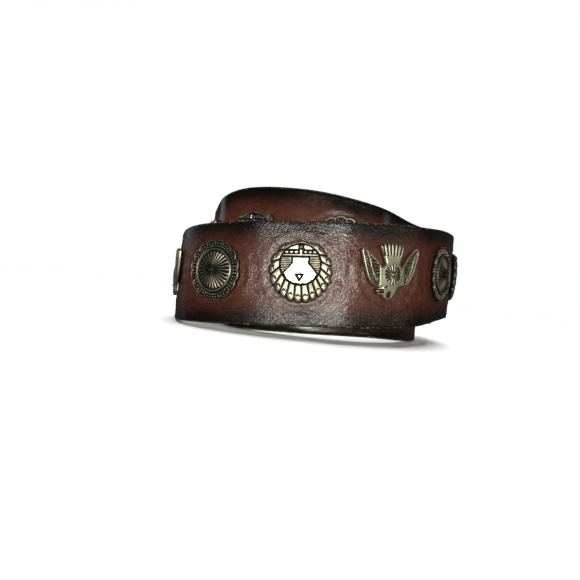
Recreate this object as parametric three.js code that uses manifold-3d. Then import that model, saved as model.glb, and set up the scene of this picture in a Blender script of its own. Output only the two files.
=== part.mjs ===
// A studded leather belt, rolled up and standing on its lower edge, in millimetres with +Z up.
//
// The strap winds inwards from its buckle end: along the back to the left, round the front to the
// right, and so on for nearly three turns to the pointed tip. The grain side faces outwards all the
// way, so the studs stand on the outside of every turn. Each stud is cast in one piece with the post
// that passes through the strap and the riveted head behind it. The roll is loose: its outer turns
// ride up, and the inner turn stands flat.
import * as THREE from 'three';
import { mergeVertices } from 'three/addons/utils/BufferGeometryUtils.js';
import Module from 'manifold-3d';

const wasm = await Module();
wasm.setup();

// Strap: the length runs from the buckle's bar to the tip.
const STRAP_LENGTH = 1065;
const STRAP_WIDTH = 38;
const STRAP_THICKNESS = 2.8;
const TIP_LENGTH = 24;
const TIP_END_WIDTH = 8;
const TIP_STEPS = 6;
const GAP = 0.3; // between pieces that touch on the real belt

// Studs, counted from the one at the middle of the roll's front.
const STUD_SPACING = 32.4;
const STUD_UP = 0.8; // above the middle of the strap's width
const FRONT_STUD_AT = 242.6; // along the strap from the bar
const FIRST_STUD = -4;
const STUD_COUNT = 24;
const STUD_KINDS = ['sun', 'bird', 'round']; // in turn, starting with the one at the front
const MIDDLE_STUD = 7; // past it they come in the reverse order
const SET_OFF_LINE = { 10: 1.6, 11: -2.5, 12: -0.9 }; // studs set higher or lower than the others, by number

// The roll seen from above, with half sizes at the front of the first turn.
const ROLL = {
  halfWidth: 64.5,
  halfDepth: 61.9,
  turnPitch: 7, // how much smaller each half size is after one turn
  leftDraw: 6.3, // how much further in the turns inside the first one lie on the left
  squareness: 2.22, // 2 is an oval, and more is squarer
  skew: 0.6, // how much squarer the left end is, and how much less square the right
  backSquareness: 0.55, // how much squarer the back of those inner turns is
  freeEndOff: 6, // how far the buckle end stands off the back
  freeEndStraight: 36, // straight stretch from the middle of the back to the bar
};
const START_ANGLE = 90; // the middle of the back, in degrees
const FRONT_ANGLE = 270;
const INNER_ANGLE = 400; // where the first turn has given way to the inner ones
const ANGLE_STEP = 0.25;

// How high the lower edge rides above the floor, by angle along the roll.
const LIFT = [
  { angle: 90, lift: 6 },
  { angle: 130, lift: 3.3 },
  { angle: 165, lift: 0.7 },
  { angle: 195, lift: 0 },
  { angle: 230, lift: 2.6 },
  { angle: 270, lift: 5.8 },
  { angle: 300, lift: 8.3 },
  { angle: 330, lift: 11.8 },
  { angle: 360, lift: 12.6 },
  { angle: 400, lift: 13.6 },
  { angle: 450, lift: 14.5 },
  { angle: 540, lift: 13.2 },
  { angle: 565, lift: 12.8 },
  { angle: 580, lift: 15 },
  { angle: 595, lift: 18.6 },
  { angle: 615, lift: 18 },
  { angle: 630, lift: 16.8 },
  { angle: 660, lift: 12 },
  { angle: 690, lift: 10.5 },
  { angle: 720, lift: 7.8 },
  { angle: 810, lift: 2.6 },
  { angle: 880, lift: 0.8 },
  { angle: 940, lift: 0 },
  { angle: 975, lift: 1.2 },
  { angle: 1010, lift: 2 },
  { angle: 1040, lift: 0.8 },
  { angle: 1060, lift: 0 },
  { angle: 1300, lift: 0 },
];

// Leather stays flatter under each rigid stud and bends more between two of them.
const STIFFNESS_UNDER_STUD = 0.7;
const BEND_SPAN = 20; // stretch of strap over which its bend is measured
const STATIONS_PER_STUD = 4;

// Punched holes for the prong, counted along the strap from the bar.
const FIRST_PRONG_HOLE = 900;
const PRONG_HOLE_SPACING = 25;
const PRONG_HOLES = 5;
const PRONG_HOLE_RADIUS = 2.3;

// Post and riveted head behind each stud.
const POST_RADIUS = 1.5;
const HEAD_RADIUS = 3.4;
const HEAD_THICKNESS = 0.6;
const POST_SIDES = 6;
const HEAD_SIDES = 8;

// Buckle end.
const FOLD_STATIONS = [42, 34, 26, 18, 9]; // where the turned-back end lies along the strap
const FOLD_THICKNESS = 2.2;
const LOOP_STEPS = 6; // round the bar
const BAR_RADIUS = 1.6;
const BAR_CLEARANCE = 0.3;
const PRONG_WIDTH = 4.4;
// Side view of the prong, from its loop round the bar to its tip, about the middle of the bar.
const PRONG_PROFILE = [
  { along: 2.2, out: -1.2 }, { along: 2.2, out: 1.2 }, { along: 0, out: 2.1 }, { along: -21.4, out: 3.2 },
  { along: -29.5, out: 2.9 }, { along: -29.5, out: 1.4 }, { along: -22.4, out: 1.4 },
  { along: -1.5, out: -2.1 },
];
const PRONG_SLOT = { length: 22, width: 6 };
const RIVETS_AT = [13, 34];
const KEEPER = { at: 24, width: 11, wall: 1.6, room: 3.6, slack: 0.5 };
const BUCKLE = { height: 50, length: 28, rail: 4.6, thickness: 3, corner: 9, barInset: 1 };

const LEATHER = new THREE.MeshStandardMaterial({ color: 0x5a3327, roughness: 0.55, metalness: 0 });
const SILVER = new THREE.MeshStandardMaterial({ color: 0xa79c86, roughness: 0.35, metalness: 1 });

// Numbers and meshes

const radians = THREE.MathUtils.degToRad;
const clamp01 = (value) => THREE.MathUtils.clamp(value, 0, 1);

// Smooth value of a table at a place, by Catmull-Rom tangents between its rows.
function tableValue(rows, key, value, place) {
  const last = rows.length - 1;
  let i = rows.findIndex((row) => row[key] > place) - 1;
  if (i < 0) i = place <= rows[0][key] ? 0 : last - 1;
  const slope = (j) => {
    const before = rows[Math.max(j - 1, 0)];
    const after = rows[Math.min(j + 1, last)];
    return (after[value] - before[value]) / (after[key] - before[key]);
  };
  const span = rows[i + 1][key] - rows[i][key];
  const t = clamp01((place - rows[i][key]) / span);
  const a = rows[i][value];
  const b = rows[i + 1][value];
  return a * (2 * t ** 3 - 3 * t ** 2 + 1) + b * (3 * t ** 2 - 2 * t ** 3)
    + span * (slope(i) * (t ** 3 - 2 * t ** 2 + t) + slope(i + 1) * (t ** 3 - t ** 2));
}

function geometryOf(points, faces) {
  const geometry = new THREE.BufferGeometry();
  geometry.setAttribute('position', new THREE.Float32BufferAttribute(points.flatMap((p) => p.toArray()), 3));
  geometry.setIndex(faces.flat());
  return geometry;
}

// Closed body through rings of points. Each end closes on one point, or on the middle of its ring.
function loft(rings, startPoint, endPoint) {
  const sides = rings[0].length;
  const middle = (ring) => ring.reduce((sum, p) => sum.add(p), new THREE.Vector3()).divideScalar(sides);
  const points = [...rings.flat(), startPoint ?? middle(rings[0]), endPoint ?? middle(rings.at(-1))];
  const startIndex = points.length - 2;
  const endIndex = points.length - 1;
  const faces = [];
  for (let side = 0; side < sides; side += 1) {
    const next = (side + 1) % sides;
    faces.push([startIndex, next, side]);
    for (let ring = 0; ring < rings.length - 1; ring += 1) {
      const here = ring * sides;
      const there = here + sides;
      faces.push([here + side, here + next, there + next], [here + side, there + next, there + side]);
    }
    const lastRing = (rings.length - 1) * sides;
    faces.push([endIndex, lastRing + side, lastRing + next]);
  }
  return geometryOf(points, faces);
}

// Closed body through four-cornered sections, whose two ends are flat.
function sweep(sections) {
  const faces = [[0, 3, 2], [0, 2, 1]];
  for (let i = 0; i < sections.length - 1; i += 1) {
    for (let side = 0; side < 4; side += 1) {
      const a = i * 4 + side;
      const b = i * 4 + ((side + 1) % 4);
      faces.push([a, b, b + 4], [a, b + 4, a + 4]);
    }
  }
  const end = (sections.length - 1) * 4;
  faces.push([end, end + 1, end + 2], [end, end + 2, end + 3]);
  return geometryOf(sections.flat(), faces);
}

function solidOf(geometry) {
  const plain = geometry.clone();
  plain.deleteAttribute('normal');
  plain.deleteAttribute('uv');
  const merged = mergeVertices(plain, 1e-4);
  return new wasm.Manifold(new wasm.Mesh({
    numProp: 3,
    vertProperties: new Float32Array(merged.attributes.position.array),
    triVerts: new Uint32Array(merged.index.array),
  }));
}

function geometryFrom(solid) {
  const mesh = solid.getMesh();
  const geometry = new THREE.BufferGeometry();
  geometry.setAttribute('position', new THREE.BufferAttribute(mesh.vertProperties.slice(), 3));
  geometry.setIndex(new THREE.BufferAttribute(mesh.triVerts.slice(), 1));
  return geometry;
}

// Round bar along local z from a low to a high end.
function rod(radius, low, high, sides = POST_SIDES) {
  return new THREE.CylinderGeometry(radius, radius, high - low, sides)
    .rotateX(Math.PI / 2)
    .translate(0, 0, (low + high) / 2);
}

function box(sizeX, sizeY, sizeZ) {
  return new THREE.BoxGeometry(sizeX, sizeY, sizeZ);
}

function shapeOf(corners) {
  return new THREE.Shape(corners.map(([x, y]) => new THREE.Vector2(x, y)));
}

function extruded(shape, low, high) {
  return new THREE.ExtrudeGeometry(shape, { depth: high - low, bevelEnabled: false }).translate(0, 0, low);
}

// The path of the strap

// Middle of the strap's thickness at an angle along the roll, seen from above.
function rollPoint(angle) {
  const turns = (angle - FRONT_ANGLE) / 360;
  const cos = Math.cos(radians(angle));
  const sin = Math.sin(radians(angle));
  const off = ROLL.freeEndOff * (1 - THREE.MathUtils.smoothstep(angle, START_ANGLE, START_ANGLE + 90));
  const inner = THREE.MathUtils.smoothstep(angle, FRONT_ANGLE, INNER_ANGLE);
  const power = ROLL.squareness - ROLL.skew * cos + ROLL.backSquareness * Math.max(sin, 0) * inner;
  const width = ROLL.halfWidth - turns * ROLL.turnPitch - (cos < 0 ? ROLL.leftDraw * inner : 0);
  const depth = ROLL.halfDepth - turns * ROLL.turnPitch + off;
  const across = Math.abs(cos / width) ** power;
  const deep = Math.abs(sin / depth) ** power;
  const reach = (across + deep) ** (-1 / power);
  return new THREE.Vector2(reach * cos, reach * sin);
}

// The roll as closely spaced points with their distance along the strap and their angle.
function traceRoll() {
  const start = rollPoint(START_ANGLE);
  const trace = [{ point: new THREE.Vector2(ROLL.freeEndStraight, start.y), angle: START_ANGLE, at: 0 }];
  for (let angle = START_ANGLE; trace.at(-1).at < STRAP_LENGTH + BEND_SPAN; angle += ANGLE_STEP) {
    const point = rollPoint(angle);
    trace.push({ point, angle, at: trace.at(-1).at + point.distanceTo(trace.at(-1).point) });
  }
  return trace;
}

const TRACE = traceRoll();

function traced(at) {
  let low = 0;
  let high = TRACE.length - 1;
  while (high - low > 1) {
    const middle = (low + high) >> 1;
    if (TRACE[middle].at <= at) low = middle;
    else high = middle;
  }
  const t = (at - TRACE[low].at) / (TRACE[high].at - TRACE[low].at);
  return {
    point: TRACE[low].point.clone().lerp(TRACE[high].point, t),
    angle: THREE.MathUtils.lerp(TRACE[low].angle, TRACE[high].angle, t),
  };
}

function direction(at, reach, place) {
  return place(at + reach).sub(place(at - reach)).normalize();
}

// The roll with the strap kept flatter under its studs.
function strapPoint(at) {
  const smooth = (where) => traced(where).point;
  const before = direction(at - BEND_SPAN / 2, 1, smooth);
  const after = direction(at + BEND_SPAN / 2, 1, smooth);
  const bend = Math.atan2(before.cross(after), before.dot(after)) / BEND_SPAN;
  const along = direction(at, 1, smooth);
  const firstStud = FRONT_STUD_AT + FIRST_STUD * STUD_SPACING;
  const lastStud = firstStud + (STUD_COUNT - 1) * STUD_SPACING;
  const halfway = STUD_SPACING / 2;
  const studded = clamp01((at - firstStud + STUD_SPACING) / halfway)
    * clamp01((lastStud + STUD_SPACING - at) / halfway);
  const wave = STUD_SPACING / (2 * Math.PI);
  const depth = STIFFNESS_UNDER_STUD * bend * wave ** 2 * studded;
  const shift = -depth * Math.cos((at - FRONT_STUD_AT) / wave);
  return smooth(at).add(new THREE.Vector2(along.y, -along.x).multiplyScalar(shift));
}

function liftAt(at) {
  return Math.max(tableValue(LIFT, 'angle', 'lift', traced(at).angle), 0);
}

// Place and directions of the strap at a distance along it: along, up its width, and out of its grain side.
function strapFrame(at) {
  const reach = 1;
  const flat = direction(at, reach, strapPoint);
  const rise = (liftAt(at + reach) - liftAt(at - reach)) / (2 * reach);
  const along = new THREE.Vector3(flat.x, flat.y, rise).normalize();
  const out = new THREE.Vector3(flat.y, -flat.x, 0).normalize();
  const up = new THREE.Vector3().crossVectors(out, along);
  const point = strapPoint(at);
  const centre = new THREE.Vector3(point.x, point.y, liftAt(at) + STRAP_WIDTH / 2);
  return { centre, along, up, out };
}

function frameMatrix({ centre, along, up, out }) {
  return new THREE.Matrix4().makeBasis(along, up, out).setPosition(centre);
}

// A frame moved up the strap's width and out of its grain side.
function shifted(frame, up, out = 0) {
  const centre = frame.centre.clone().addScaledVector(frame.up, up).addScaledVector(frame.out, out);
  return { ...frame, centre };
}

// The strap

function section(frame, width, thickness) {
  const corner = (across, high) => frame.centre.clone()
    .addScaledVector(frame.out, (across * thickness) / 2)
    .addScaledVector(frame.up, (high * width) / 2);
  return [corner(1, -1), corner(-1, -1), corner(-1, 1), corner(1, 1)];
}

function widthAt(at) {
  const past = clamp01((at - STRAP_LENGTH + TIP_LENGTH) / TIP_LENGTH);
  return TIP_END_WIDTH + (STRAP_WIDTH - TIP_END_WIDTH) * Math.sqrt(1 - past ** 2);
}

// Sections of the turned-back end, from its free edge to the bar. Its grain side faces the flesh side
// of the strap's next turn, so the direction out of it is the opposite one.
function foldSections() {
  const loopInside = BAR_RADIUS + BAR_CLEARANCE;
  const lying = STRAP_THICKNESS / 2 + GAP + FOLD_THICKNESS / 2;
  const sections = FOLD_STATIONS.map((at) => {
    const { centre, up, out } = strapFrame(at);
    const behind = { centre: centre.addScaledVector(out, -lying), up, out: out.clone().negate() };
    return section(behind, STRAP_WIDTH, FOLD_THICKNESS);
  });
  const bar = strapFrame(0);
  const loopCentre = bar.centre.clone().addScaledVector(bar.out, -STRAP_THICKNESS / 2 - loopInside);
  for (let step = 0; step < LOOP_STEPS; step += 1) {
    const turn = (Math.PI * step) / LOOP_STEPS;
    const thickness = THREE.MathUtils.lerp(FOLD_THICKNESS, STRAP_THICKNESS, step / LOOP_STEPS);
    const out = bar.out.clone().multiplyScalar(-Math.cos(turn)).addScaledVector(bar.along, -Math.sin(turn));
    const centre = loopCentre.clone().addScaledVector(out, loopInside + thickness / 2);
    sections.push(section({ centre, up: bar.up, out }, STRAP_WIDTH, thickness));
  }
  return sections;
}

function strapSections() {
  const step = STUD_SPACING / STATIONS_PER_STUD;
  const firstStation = (FRONT_STUD_AT - step / 2) % step;
  const stations = [0];
  for (let at = firstStation + step; at < STRAP_LENGTH - TIP_LENGTH; at += step) stations.push(at);
  for (let i = 0; i <= TIP_STEPS; i += 1) {
    stations.push(STRAP_LENGTH - TIP_LENGTH * Math.cos((Math.PI / 2) * (i / TIP_STEPS)));
  }
  return stations.map((at) => section(strapFrame(at), widthAt(at), STRAP_THICKNESS));
}

function studPlaces() {
  return Array.from({ length: STUD_COUNT }, (_, i) => {
    const index = FIRST_STUD + i;
    const inOrder = Math.min(index, 2 * MIDDLE_STUD - index);
    const kind = STUD_KINDS[THREE.MathUtils.euclideanModulo(inOrder, STUD_KINDS.length)];
    const name = `concho_${String(i + 1).padStart(2, '0')}_${kind}`;
    return { at: FRONT_STUD_AT + index * STUD_SPACING, up: STUD_UP + (SET_OFF_LINE[index] ?? 0), kind, name };
  });
}

function makeStrap() {
  const through = STRAP_THICKNESS * 2;
  const cutters = [];
  for (const { at, up } of studPlaces()) {
    const frame = shifted(strapFrame(at), up);
    cutters.push(rod(POST_RADIUS + GAP, -through, through).applyMatrix4(frameMatrix(frame)));
  }
  for (let hole = 0; hole < PRONG_HOLES; hole += 1) {
    const at = FIRST_PRONG_HOLE + hole * PRONG_HOLE_SPACING;
    cutters.push(rod(PRONG_HOLE_RADIUS, -through, through).applyMatrix4(frameMatrix(strapFrame(at))));
  }
  const throughFold = through * 3;
  for (const at of RIVETS_AT) {
    cutters.push(rod(POST_RADIUS + GAP, -throughFold, through).applyMatrix4(frameMatrix(strapFrame(at))));
  }
  const slot = box(PRONG_SLOT.length, PRONG_SLOT.width, 2 * throughFold);
  cutters.push(slot.applyMatrix4(frameMatrix(strapFrame(0))));
  let strap = solidOf(sweep([...foldSections(), ...strapSections()]));
  for (const cutter of cutters) strap = strap.subtract(solidOf(cutter));
  return geometryFrom(strap);
}

// Studs: local x runs along the strap, y up its width and z out of it, with z 0 on the stud's back.

function withPost(face) {
  const headFace = -(GAP + STRAP_THICKNESS + GAP);
  const post = rod(POST_RADIUS, headFace - HEAD_THICKNESS / 2, GAP);
  const head = rod(HEAD_RADIUS, headFace - HEAD_THICKNESS, headFace, HEAD_SIDES);
  return geometryFrom(solidOf(face).add(solidOf(post)).add(solidOf(head)));
}

// A raised face from rings of [x, y, height] given by a function of the side's angle and number.
function raisedFace(sides, rings, peak) {
  const ringPoints = rings.map((ring) => Array.from({ length: sides }, (_, i) => (
    new THREE.Vector3(...ring((2 * Math.PI * i) / sides, i)))));
  return loft(ringPoints.reverse(), undefined, new THREE.Vector3(...peak));
}

// Heights are above the stud's flat back.
const ROUND = {
  scallops: 16, radius: 11.5, dip: 0.6, bevel: 0.3, rim: 1.1,
  ringRadius: 8, ring: 1.7,
  domeRadius: 6.7, fluteLow: 0.85, fluteHigh: 1.3, domePeak: 2.6,
};

function roundFace() {
  const polar = (angle, radius, height) => [radius * Math.cos(angle), radius * Math.sin(angle), height];
  const scallop = (i) => (i % 2 ? ROUND.radius : ROUND.radius - ROUND.dip);
  return raisedFace(2 * ROUND.scallops, [
    (angle, i) => polar(angle, ROUND.domeRadius, i % 2 ? ROUND.fluteLow : ROUND.fluteHigh),
    (angle) => polar(angle, ROUND.ringRadius, ROUND.ring),
    (angle, i) => polar(angle, scallop(i) - ROUND.bevel, ROUND.rim),
    (angle, i) => polar(angle, scallop(i), 0),
  ], [0, 0, ROUND.domePeak]);
}

const SUN = {
  feathers: 20, radius: 11.2, dip: 0.45, sweep: 22, rimShare: 0.93, ridge: 1.15, groove: 0.8,
  discRadius: 7.1, discUp: 2.3, disc: 2.1, overlap: 0.04,
  panelFoot: 1.4, panel: 2.4, bandWidth: 11.4, bandHeight: 1.1, bandUp: 3.6,
};

// Right half of the polished panel on the disc, from its neck to its chin.
const SUN_PANEL = [
  { x: 2.9, y: 2.7 }, { x: 2.9, y: 0.9 }, { x: 5.6, y: -2.6 }, { x: 3.9, y: -4.9 }, { x: 0, y: -6.2 },
];

// A point between the disc's edge, at 0, and the feathers' tips, at 1, whose angle is swept down.
function featherPoint(angle, share, dip, height) {
  const fromTop = Math.abs(THREE.MathUtils.euclideanModulo(angle + Math.PI / 2, 2 * Math.PI) - Math.PI);
  const side = Math.cos(angle) > 0 ? -1 : 1;
  const swept = angle + side * radians(SUN.sweep) * Math.sin(fromTop) * (1 - fromTop / Math.PI);
  const onCircle = (radius, turn, up) => new THREE.Vector2(radius * Math.cos(turn), radius * Math.sin(turn) + up);
  const inner = onCircle(SUN.discRadius, angle, SUN.discUp);
  const tip = onCircle(SUN.radius - dip, swept, 0);
  return [...inner.lerp(tip, share).toArray(), height];
}

function sunFace() {
  const dip = (i) => (i % 2 ? 0 : SUN.dip);
  const face = raisedFace(2 * SUN.feathers, [
    (angle) => featherPoint(angle, -SUN.overlap, 0, SUN.disc),
    (angle, i) => featherPoint(angle, SUN.rimShare, dip(i), i % 2 ? SUN.ridge : SUN.groove),
    (angle, i) => featherPoint(angle, 1, dip(i), 0),
  ], [0, SUN.discUp, SUN.disc]);
  const half = SUN_PANEL.map(({ x, y }) => [x, y + SUN.discUp]);
  const panel = shapeOf([...half, ...half.slice(0, -1).reverse().map(([x, y]) => [-x, y])]);
  const raised = extruded(panel, SUN.panelFoot, SUN.panel);
  const bandDepth = SUN.panel - SUN.panelFoot;
  const band = box(SUN.bandWidth, SUN.bandHeight, bandDepth)
    .translate(0, SUN.discUp + SUN.bandUp, SUN.panel - bandDepth / 2);
  return geometryFrom(solidOf(face).add(solidOf(raised)).add(solidOf(band)));
}

// Right half of the bird from the middle of its tail round to its neck. The left half mirrors it.
const BIRD_HALF = [
  { x: 0, y: 10.5 }, { x: 2.8, y: 10.3 }, { x: 5.3, y: 9.3 }, { x: 4.5, y: 6.0 }, { x: 3.5, y: 2.9 },
  { x: 4.2, y: 1.7 }, { x: 5.6, y: 2.9 }, { x: 8.4, y: 6.0 }, { x: 11.2, y: 8.3 }, { x: 12.1, y: 7.3 },
  { x: 12.0, y: 5.2 }, { x: 11.3, y: 1.9 }, { x: 10.1, y: -1.7 }, { x: 8.2, y: -4.1 }, { x: 5.6, y: -5.1 },
  { x: 3.0, y: -5.3 },
];
// The head, turned to the left, and one claw beside it.
const BIRD_HEAD = [
  { x: 2.2, y: -7.2 }, { x: 1.5, y: -9.0 }, { x: -0.2, y: -10.2 }, { x: -2.4, y: -9.9 }, { x: -3.6, y: -9.0 },
  { x: -2.6, y: -8.2 }, { x: -4.8, y: -8.3 }, { x: -6.3, y: -7.1 }, { x: -5.0, y: -6.2 },
];
const BIRD = {
  plate: 1.5,
  breastUp: -0.8, breastRadius: 3.9, breastTop: 1.6, breastFoot: 0.6, breastPeak: 2.4, breastSides: 10,
};
// Grooves between the tail's feathers, which spread like a fan.
const TAIL_GROOVE = { count: 4, width: 0.6, length: 5, depth: 0.3, up: 8.4, pitch: 0.9, fan: 0.155 };

function birdFace() {
  const left = BIRD_HALF.slice(1).reverse().map(({ x, y }) => ({ x: -x, y }));
  const outline = [...BIRD_HALF, ...BIRD_HEAD, ...left].map(({ x, y }) => [x, y]);
  const plate = extruded(shapeOf(outline), 0, BIRD.plate);
  const breastHeight = BIRD.breastPeak - BIRD.breastFoot;
  const breast = new THREE.CylinderGeometry(BIRD.breastTop, BIRD.breastRadius, breastHeight, BIRD.breastSides)
    .rotateX(Math.PI / 2)
    .translate(0, BIRD.breastUp, BIRD.breastFoot + breastHeight / 2);
  let bird = solidOf(plate).add(solidOf(breast));
  for (let i = 0; i < TAIL_GROOVE.count; i += 1) {
    const place = i + 0.5 - TAIL_GROOVE.count / 2;
    const groove = box(TAIL_GROOVE.width, TAIL_GROOVE.length, 2 * TAIL_GROOVE.depth)
      .translate(0, TAIL_GROOVE.up, BIRD.plate)
      .rotateZ(-place * TAIL_GROOVE.fan)
      .translate(place * TAIL_GROOVE.pitch, 0, 0);
    bird = bird.subtract(solidOf(groove));
  }
  return geometryFrom(bird);
}

// Buckle end pieces, in the strap's frame at the place where they sit.

// Corners of a plate from a straight edge, at x = start, to a rounded end that points along -x.
function roundedEnd(start, length, halfHeight, radius) {
  const steps = 4;
  const arc = Array.from({ length: steps + 1 }, (_, i) => {
    const turn = (Math.PI / 2) * (i / steps);
    return [-length + radius - radius * Math.sin(turn), halfHeight - radius + radius * Math.cos(turn)];
  });
  const lower = arc.map(([x, y]) => [x, -y]).reverse();
  return shapeOf([[start, halfHeight], ...arc, ...lower, [start, -halfHeight]]);
}

function makeBuckle() {
  const { height, length, rail, thickness, corner, barInset } = BUCKLE;
  const plate = extruded(roundedEnd(0, length, height / 2, corner), -thickness / 2, thickness / 2);
  const window = roundedEnd(rail, length - rail, height / 2 - rail, corner - rail);
  const opening = extruded(window, -thickness, thickness);
  const bar = rod(BAR_RADIUS, barInset - height / 2, height / 2 - barInset, 8).rotateX(Math.PI / 2);
  const side = shapeOf(PRONG_PROFILE.map(({ along, out }) => [along, out]));
  const prong = extruded(side, -PRONG_WIDTH / 2, PRONG_WIDTH / 2).rotateX(Math.PI / 2);
  const frame = solidOf(plate).subtract(solidOf(opening));
  return geometryFrom(frame.add(solidOf(bar)).add(solidOf(prong)))
    .translate(0, 0, -STRAP_THICKNESS / 2 - BAR_RADIUS - BAR_CLEARANCE);
}

function makeKeeper() {
  const behind = STRAP_THICKNESS / 2 + GAP + FOLD_THICKNESS + GAP;
  const front = STRAP_THICKNESS / 2 + KEEPER.room;
  const high = STRAP_WIDTH / 2 + KEEPER.slack;
  const loop = (grow) => [
    [-behind - grow, -high - grow], [front + grow, -high - grow],
    [front + grow, high + grow], [-behind - grow, high + grow],
  ];
  const shape = shapeOf(loop(KEEPER.wall));
  shape.holes.push(shapeOf(loop(0)));
  return extruded(shape, -KEEPER.width / 2, KEEPER.width / 2).rotateY(-Math.PI / 2);
}

function makeFoldRivet() {
  const behind = -(STRAP_THICKNESS / 2 + GAP + FOLD_THICKNESS + GAP);
  const front = STRAP_THICKNESS / 2 + GAP;
  const post = solidOf(rod(POST_RADIUS, behind - HEAD_THICKNESS / 2, front + HEAD_THICKNESS / 2));
  const back = solidOf(rod(HEAD_RADIUS, behind - HEAD_THICKNESS, behind, HEAD_SIDES));
  const cap = solidOf(rod(HEAD_RADIUS, front, front + HEAD_THICKNESS, HEAD_SIDES));
  return geometryFrom(post.add(back).add(cap));
}

// The belt

const belt = new THREE.Group();
belt.name = 'studded_belt';

function place(name, geometry, material, frame) {
  const mesh = new THREE.Mesh(geometry, material);
  mesh.name = name;
  if (frame) {
    mesh.quaternion.setFromRotationMatrix(frameMatrix(frame));
    mesh.position.copy(frame.centre);
  }
  belt.add(mesh);
}

place('strap', makeStrap(), LEATHER);
const studs = { round: withPost(roundFace()), sun: withPost(sunFace()), bird: withPost(birdFace()) };
for (const { name, kind, at, up } of studPlaces()) {
  place(name, studs[kind], SILVER, shifted(strapFrame(at), up, STRAP_THICKNESS / 2 + GAP));
}
place('buckle', makeBuckle(), SILVER, strapFrame(0));
place('keeper', makeKeeper(), LEATHER, strapFrame(KEEPER.at));
RIVETS_AT.forEach((at, i) => place(`fold_rivet_${i + 1}`, makeFoldRivet(), SILVER, strapFrame(at)));

// The origin is under the middle of the whole belt, on the floor.
belt.updateMatrixWorld(true);
const bounds = new THREE.Box3().setFromObject(belt, true);
const middle = bounds.getCenter(new THREE.Vector3());
belt.position.set(-middle.x, -middle.y, -bounds.min.z);

export default belt;
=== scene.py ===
# A studded leather belt, rolled up and standing on its lower edge: the dressed model over its CAD frame.
# Sizes are in millimetres while a piece is shaped, and in metres once it is a mesh.
import math
from functools import partial

import bmesh
import bpy
import numpy as np
from mathutils import Matrix, Vector
from mathutils.geometry import delaunay_2d_cdt


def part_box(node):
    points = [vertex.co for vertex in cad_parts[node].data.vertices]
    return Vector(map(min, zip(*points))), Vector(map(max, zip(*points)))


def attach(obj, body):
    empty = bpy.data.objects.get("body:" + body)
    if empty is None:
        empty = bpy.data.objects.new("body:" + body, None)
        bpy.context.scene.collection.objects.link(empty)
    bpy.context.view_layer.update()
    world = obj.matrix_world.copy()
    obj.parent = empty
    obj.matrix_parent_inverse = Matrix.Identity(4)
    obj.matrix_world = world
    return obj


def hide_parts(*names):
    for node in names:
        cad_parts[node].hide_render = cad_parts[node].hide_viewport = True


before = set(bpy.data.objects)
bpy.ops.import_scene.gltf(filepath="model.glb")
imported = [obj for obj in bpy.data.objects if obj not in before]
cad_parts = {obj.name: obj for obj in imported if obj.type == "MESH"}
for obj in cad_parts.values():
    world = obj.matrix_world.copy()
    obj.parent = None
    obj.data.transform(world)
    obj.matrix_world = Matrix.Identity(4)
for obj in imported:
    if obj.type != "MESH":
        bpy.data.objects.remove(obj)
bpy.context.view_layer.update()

MM = 0.001
BODY = "root"

# Strap, as in the CAD model
STRAP_LENGTH = 1065.0
STRAP_WIDTH = 38.0
STRAP_THICKNESS = 2.8
TIP_LENGTH = 24.0
TIP_END_WIDTH = 8.0
GAP = 0.3

# Studs, counted from the one at the middle of the roll's front
STUD_SPACING = 32.4
STUD_UP = 0.8
FRONT_STUD_AT = 242.6
FIRST_STUD = -4
STUD_COUNT = 24
STUD_KINDS = ("sun", "bird", "round")
MIDDLE_STUD = 7  # past it they come in the reverse order
SET_OFF_LINE = {10: 1.6, 11: -2.5, 12: -0.9}  # studs set higher or lower than the others
FIRST_INNER_STUD = 4  # from it on they lie on the inner turns

# The roll seen from above
HALF_WIDTH = 64.5
HALF_DEPTH = 61.9
TURN_PITCH = 7.0
LEFT_DRAW = 6.3  # how far the inner turns are drawn in at the left
SQUARENESS = 2.22  # power of the oval, where 2 is an ellipse
SKEW = 0.6  # more of it at the left and less at the right
BACK_SQUARENESS = 0.55  # more of it at the back of the inner turns
FREE_END_OFF = 6.0  # how far the buckle end stands off the roll
FREE_END_STRAIGHT = 36.0

# Angles along the roll, in degrees
BACK_ANGLE = 90
LEFT_ANGLE = 180
FRONT_ANGLE = 270
INNER_ANGLE = 400
END_ANGLE = 1300
ANGLE_STEP = 0.25
LEAD_IN = 50.0  # stretch traced before the bar, in mm

# How high the lower edge rides above the floor: angle along the roll, height in mm
LIFT = np.array([
    (90, 6), (130, 3.3), (165, 0.7), (195, 0), (230, 2.6), (270, 5.8), (300, 8.3), (330, 11.8), (360, 12.6),
    (400, 13.6), (450, 14.5), (540, 13.2), (565, 12.8), (580, 15), (595, 18.6), (615, 18), (630, 16.8),
    (660, 12), (690, 10.5), (720, 7.8), (810, 2.6), (880, 0.8), (940, 0), (975, 1.2), (1010, 2), (1040, 0.8),
    (1060, 0), (1300, 0),
], float)
STIFFNESS_UNDER_STUD = 0.7
BEND_SPAN = 20.0

# Punched holes and the buckle end
PRONG_HOLES_AT = (900.0, 925.0, 950.0, 975.0, 1000.0)
PRONG_HOLE_RADIUS = 2.3
PRONG_SLOT_REACH = 11.0
PRONG_SLOT_WIDTH = 6.0
FOLD_FROM = 42.0
FOLD_FLAT_FROM = 10.0
FOLD_THICKNESS = 2.2
BAR_RADIUS = 1.6
BAR_CLEARANCE = 0.3
LOOP_INSIDE = BAR_RADIUS + BAR_CLEARANCE
LOOP_LENGTH = math.pi * (LOOP_INSIDE + (FOLD_THICKNESS + STRAP_THICKNESS) / 4)
RIVETS_AT = (13.0, 34.0)
POST_RADIUS = 1.5
HEAD_RADIUS = 3.4
HEAD_THICKNESS = 0.6
KEEPER_AT, KEEPER_WIDTH, KEEPER_WALL, KEEPER_ROOM, KEEPER_SLACK = 24.0, 11.0, 1.6, 3.6, 0.5

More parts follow.
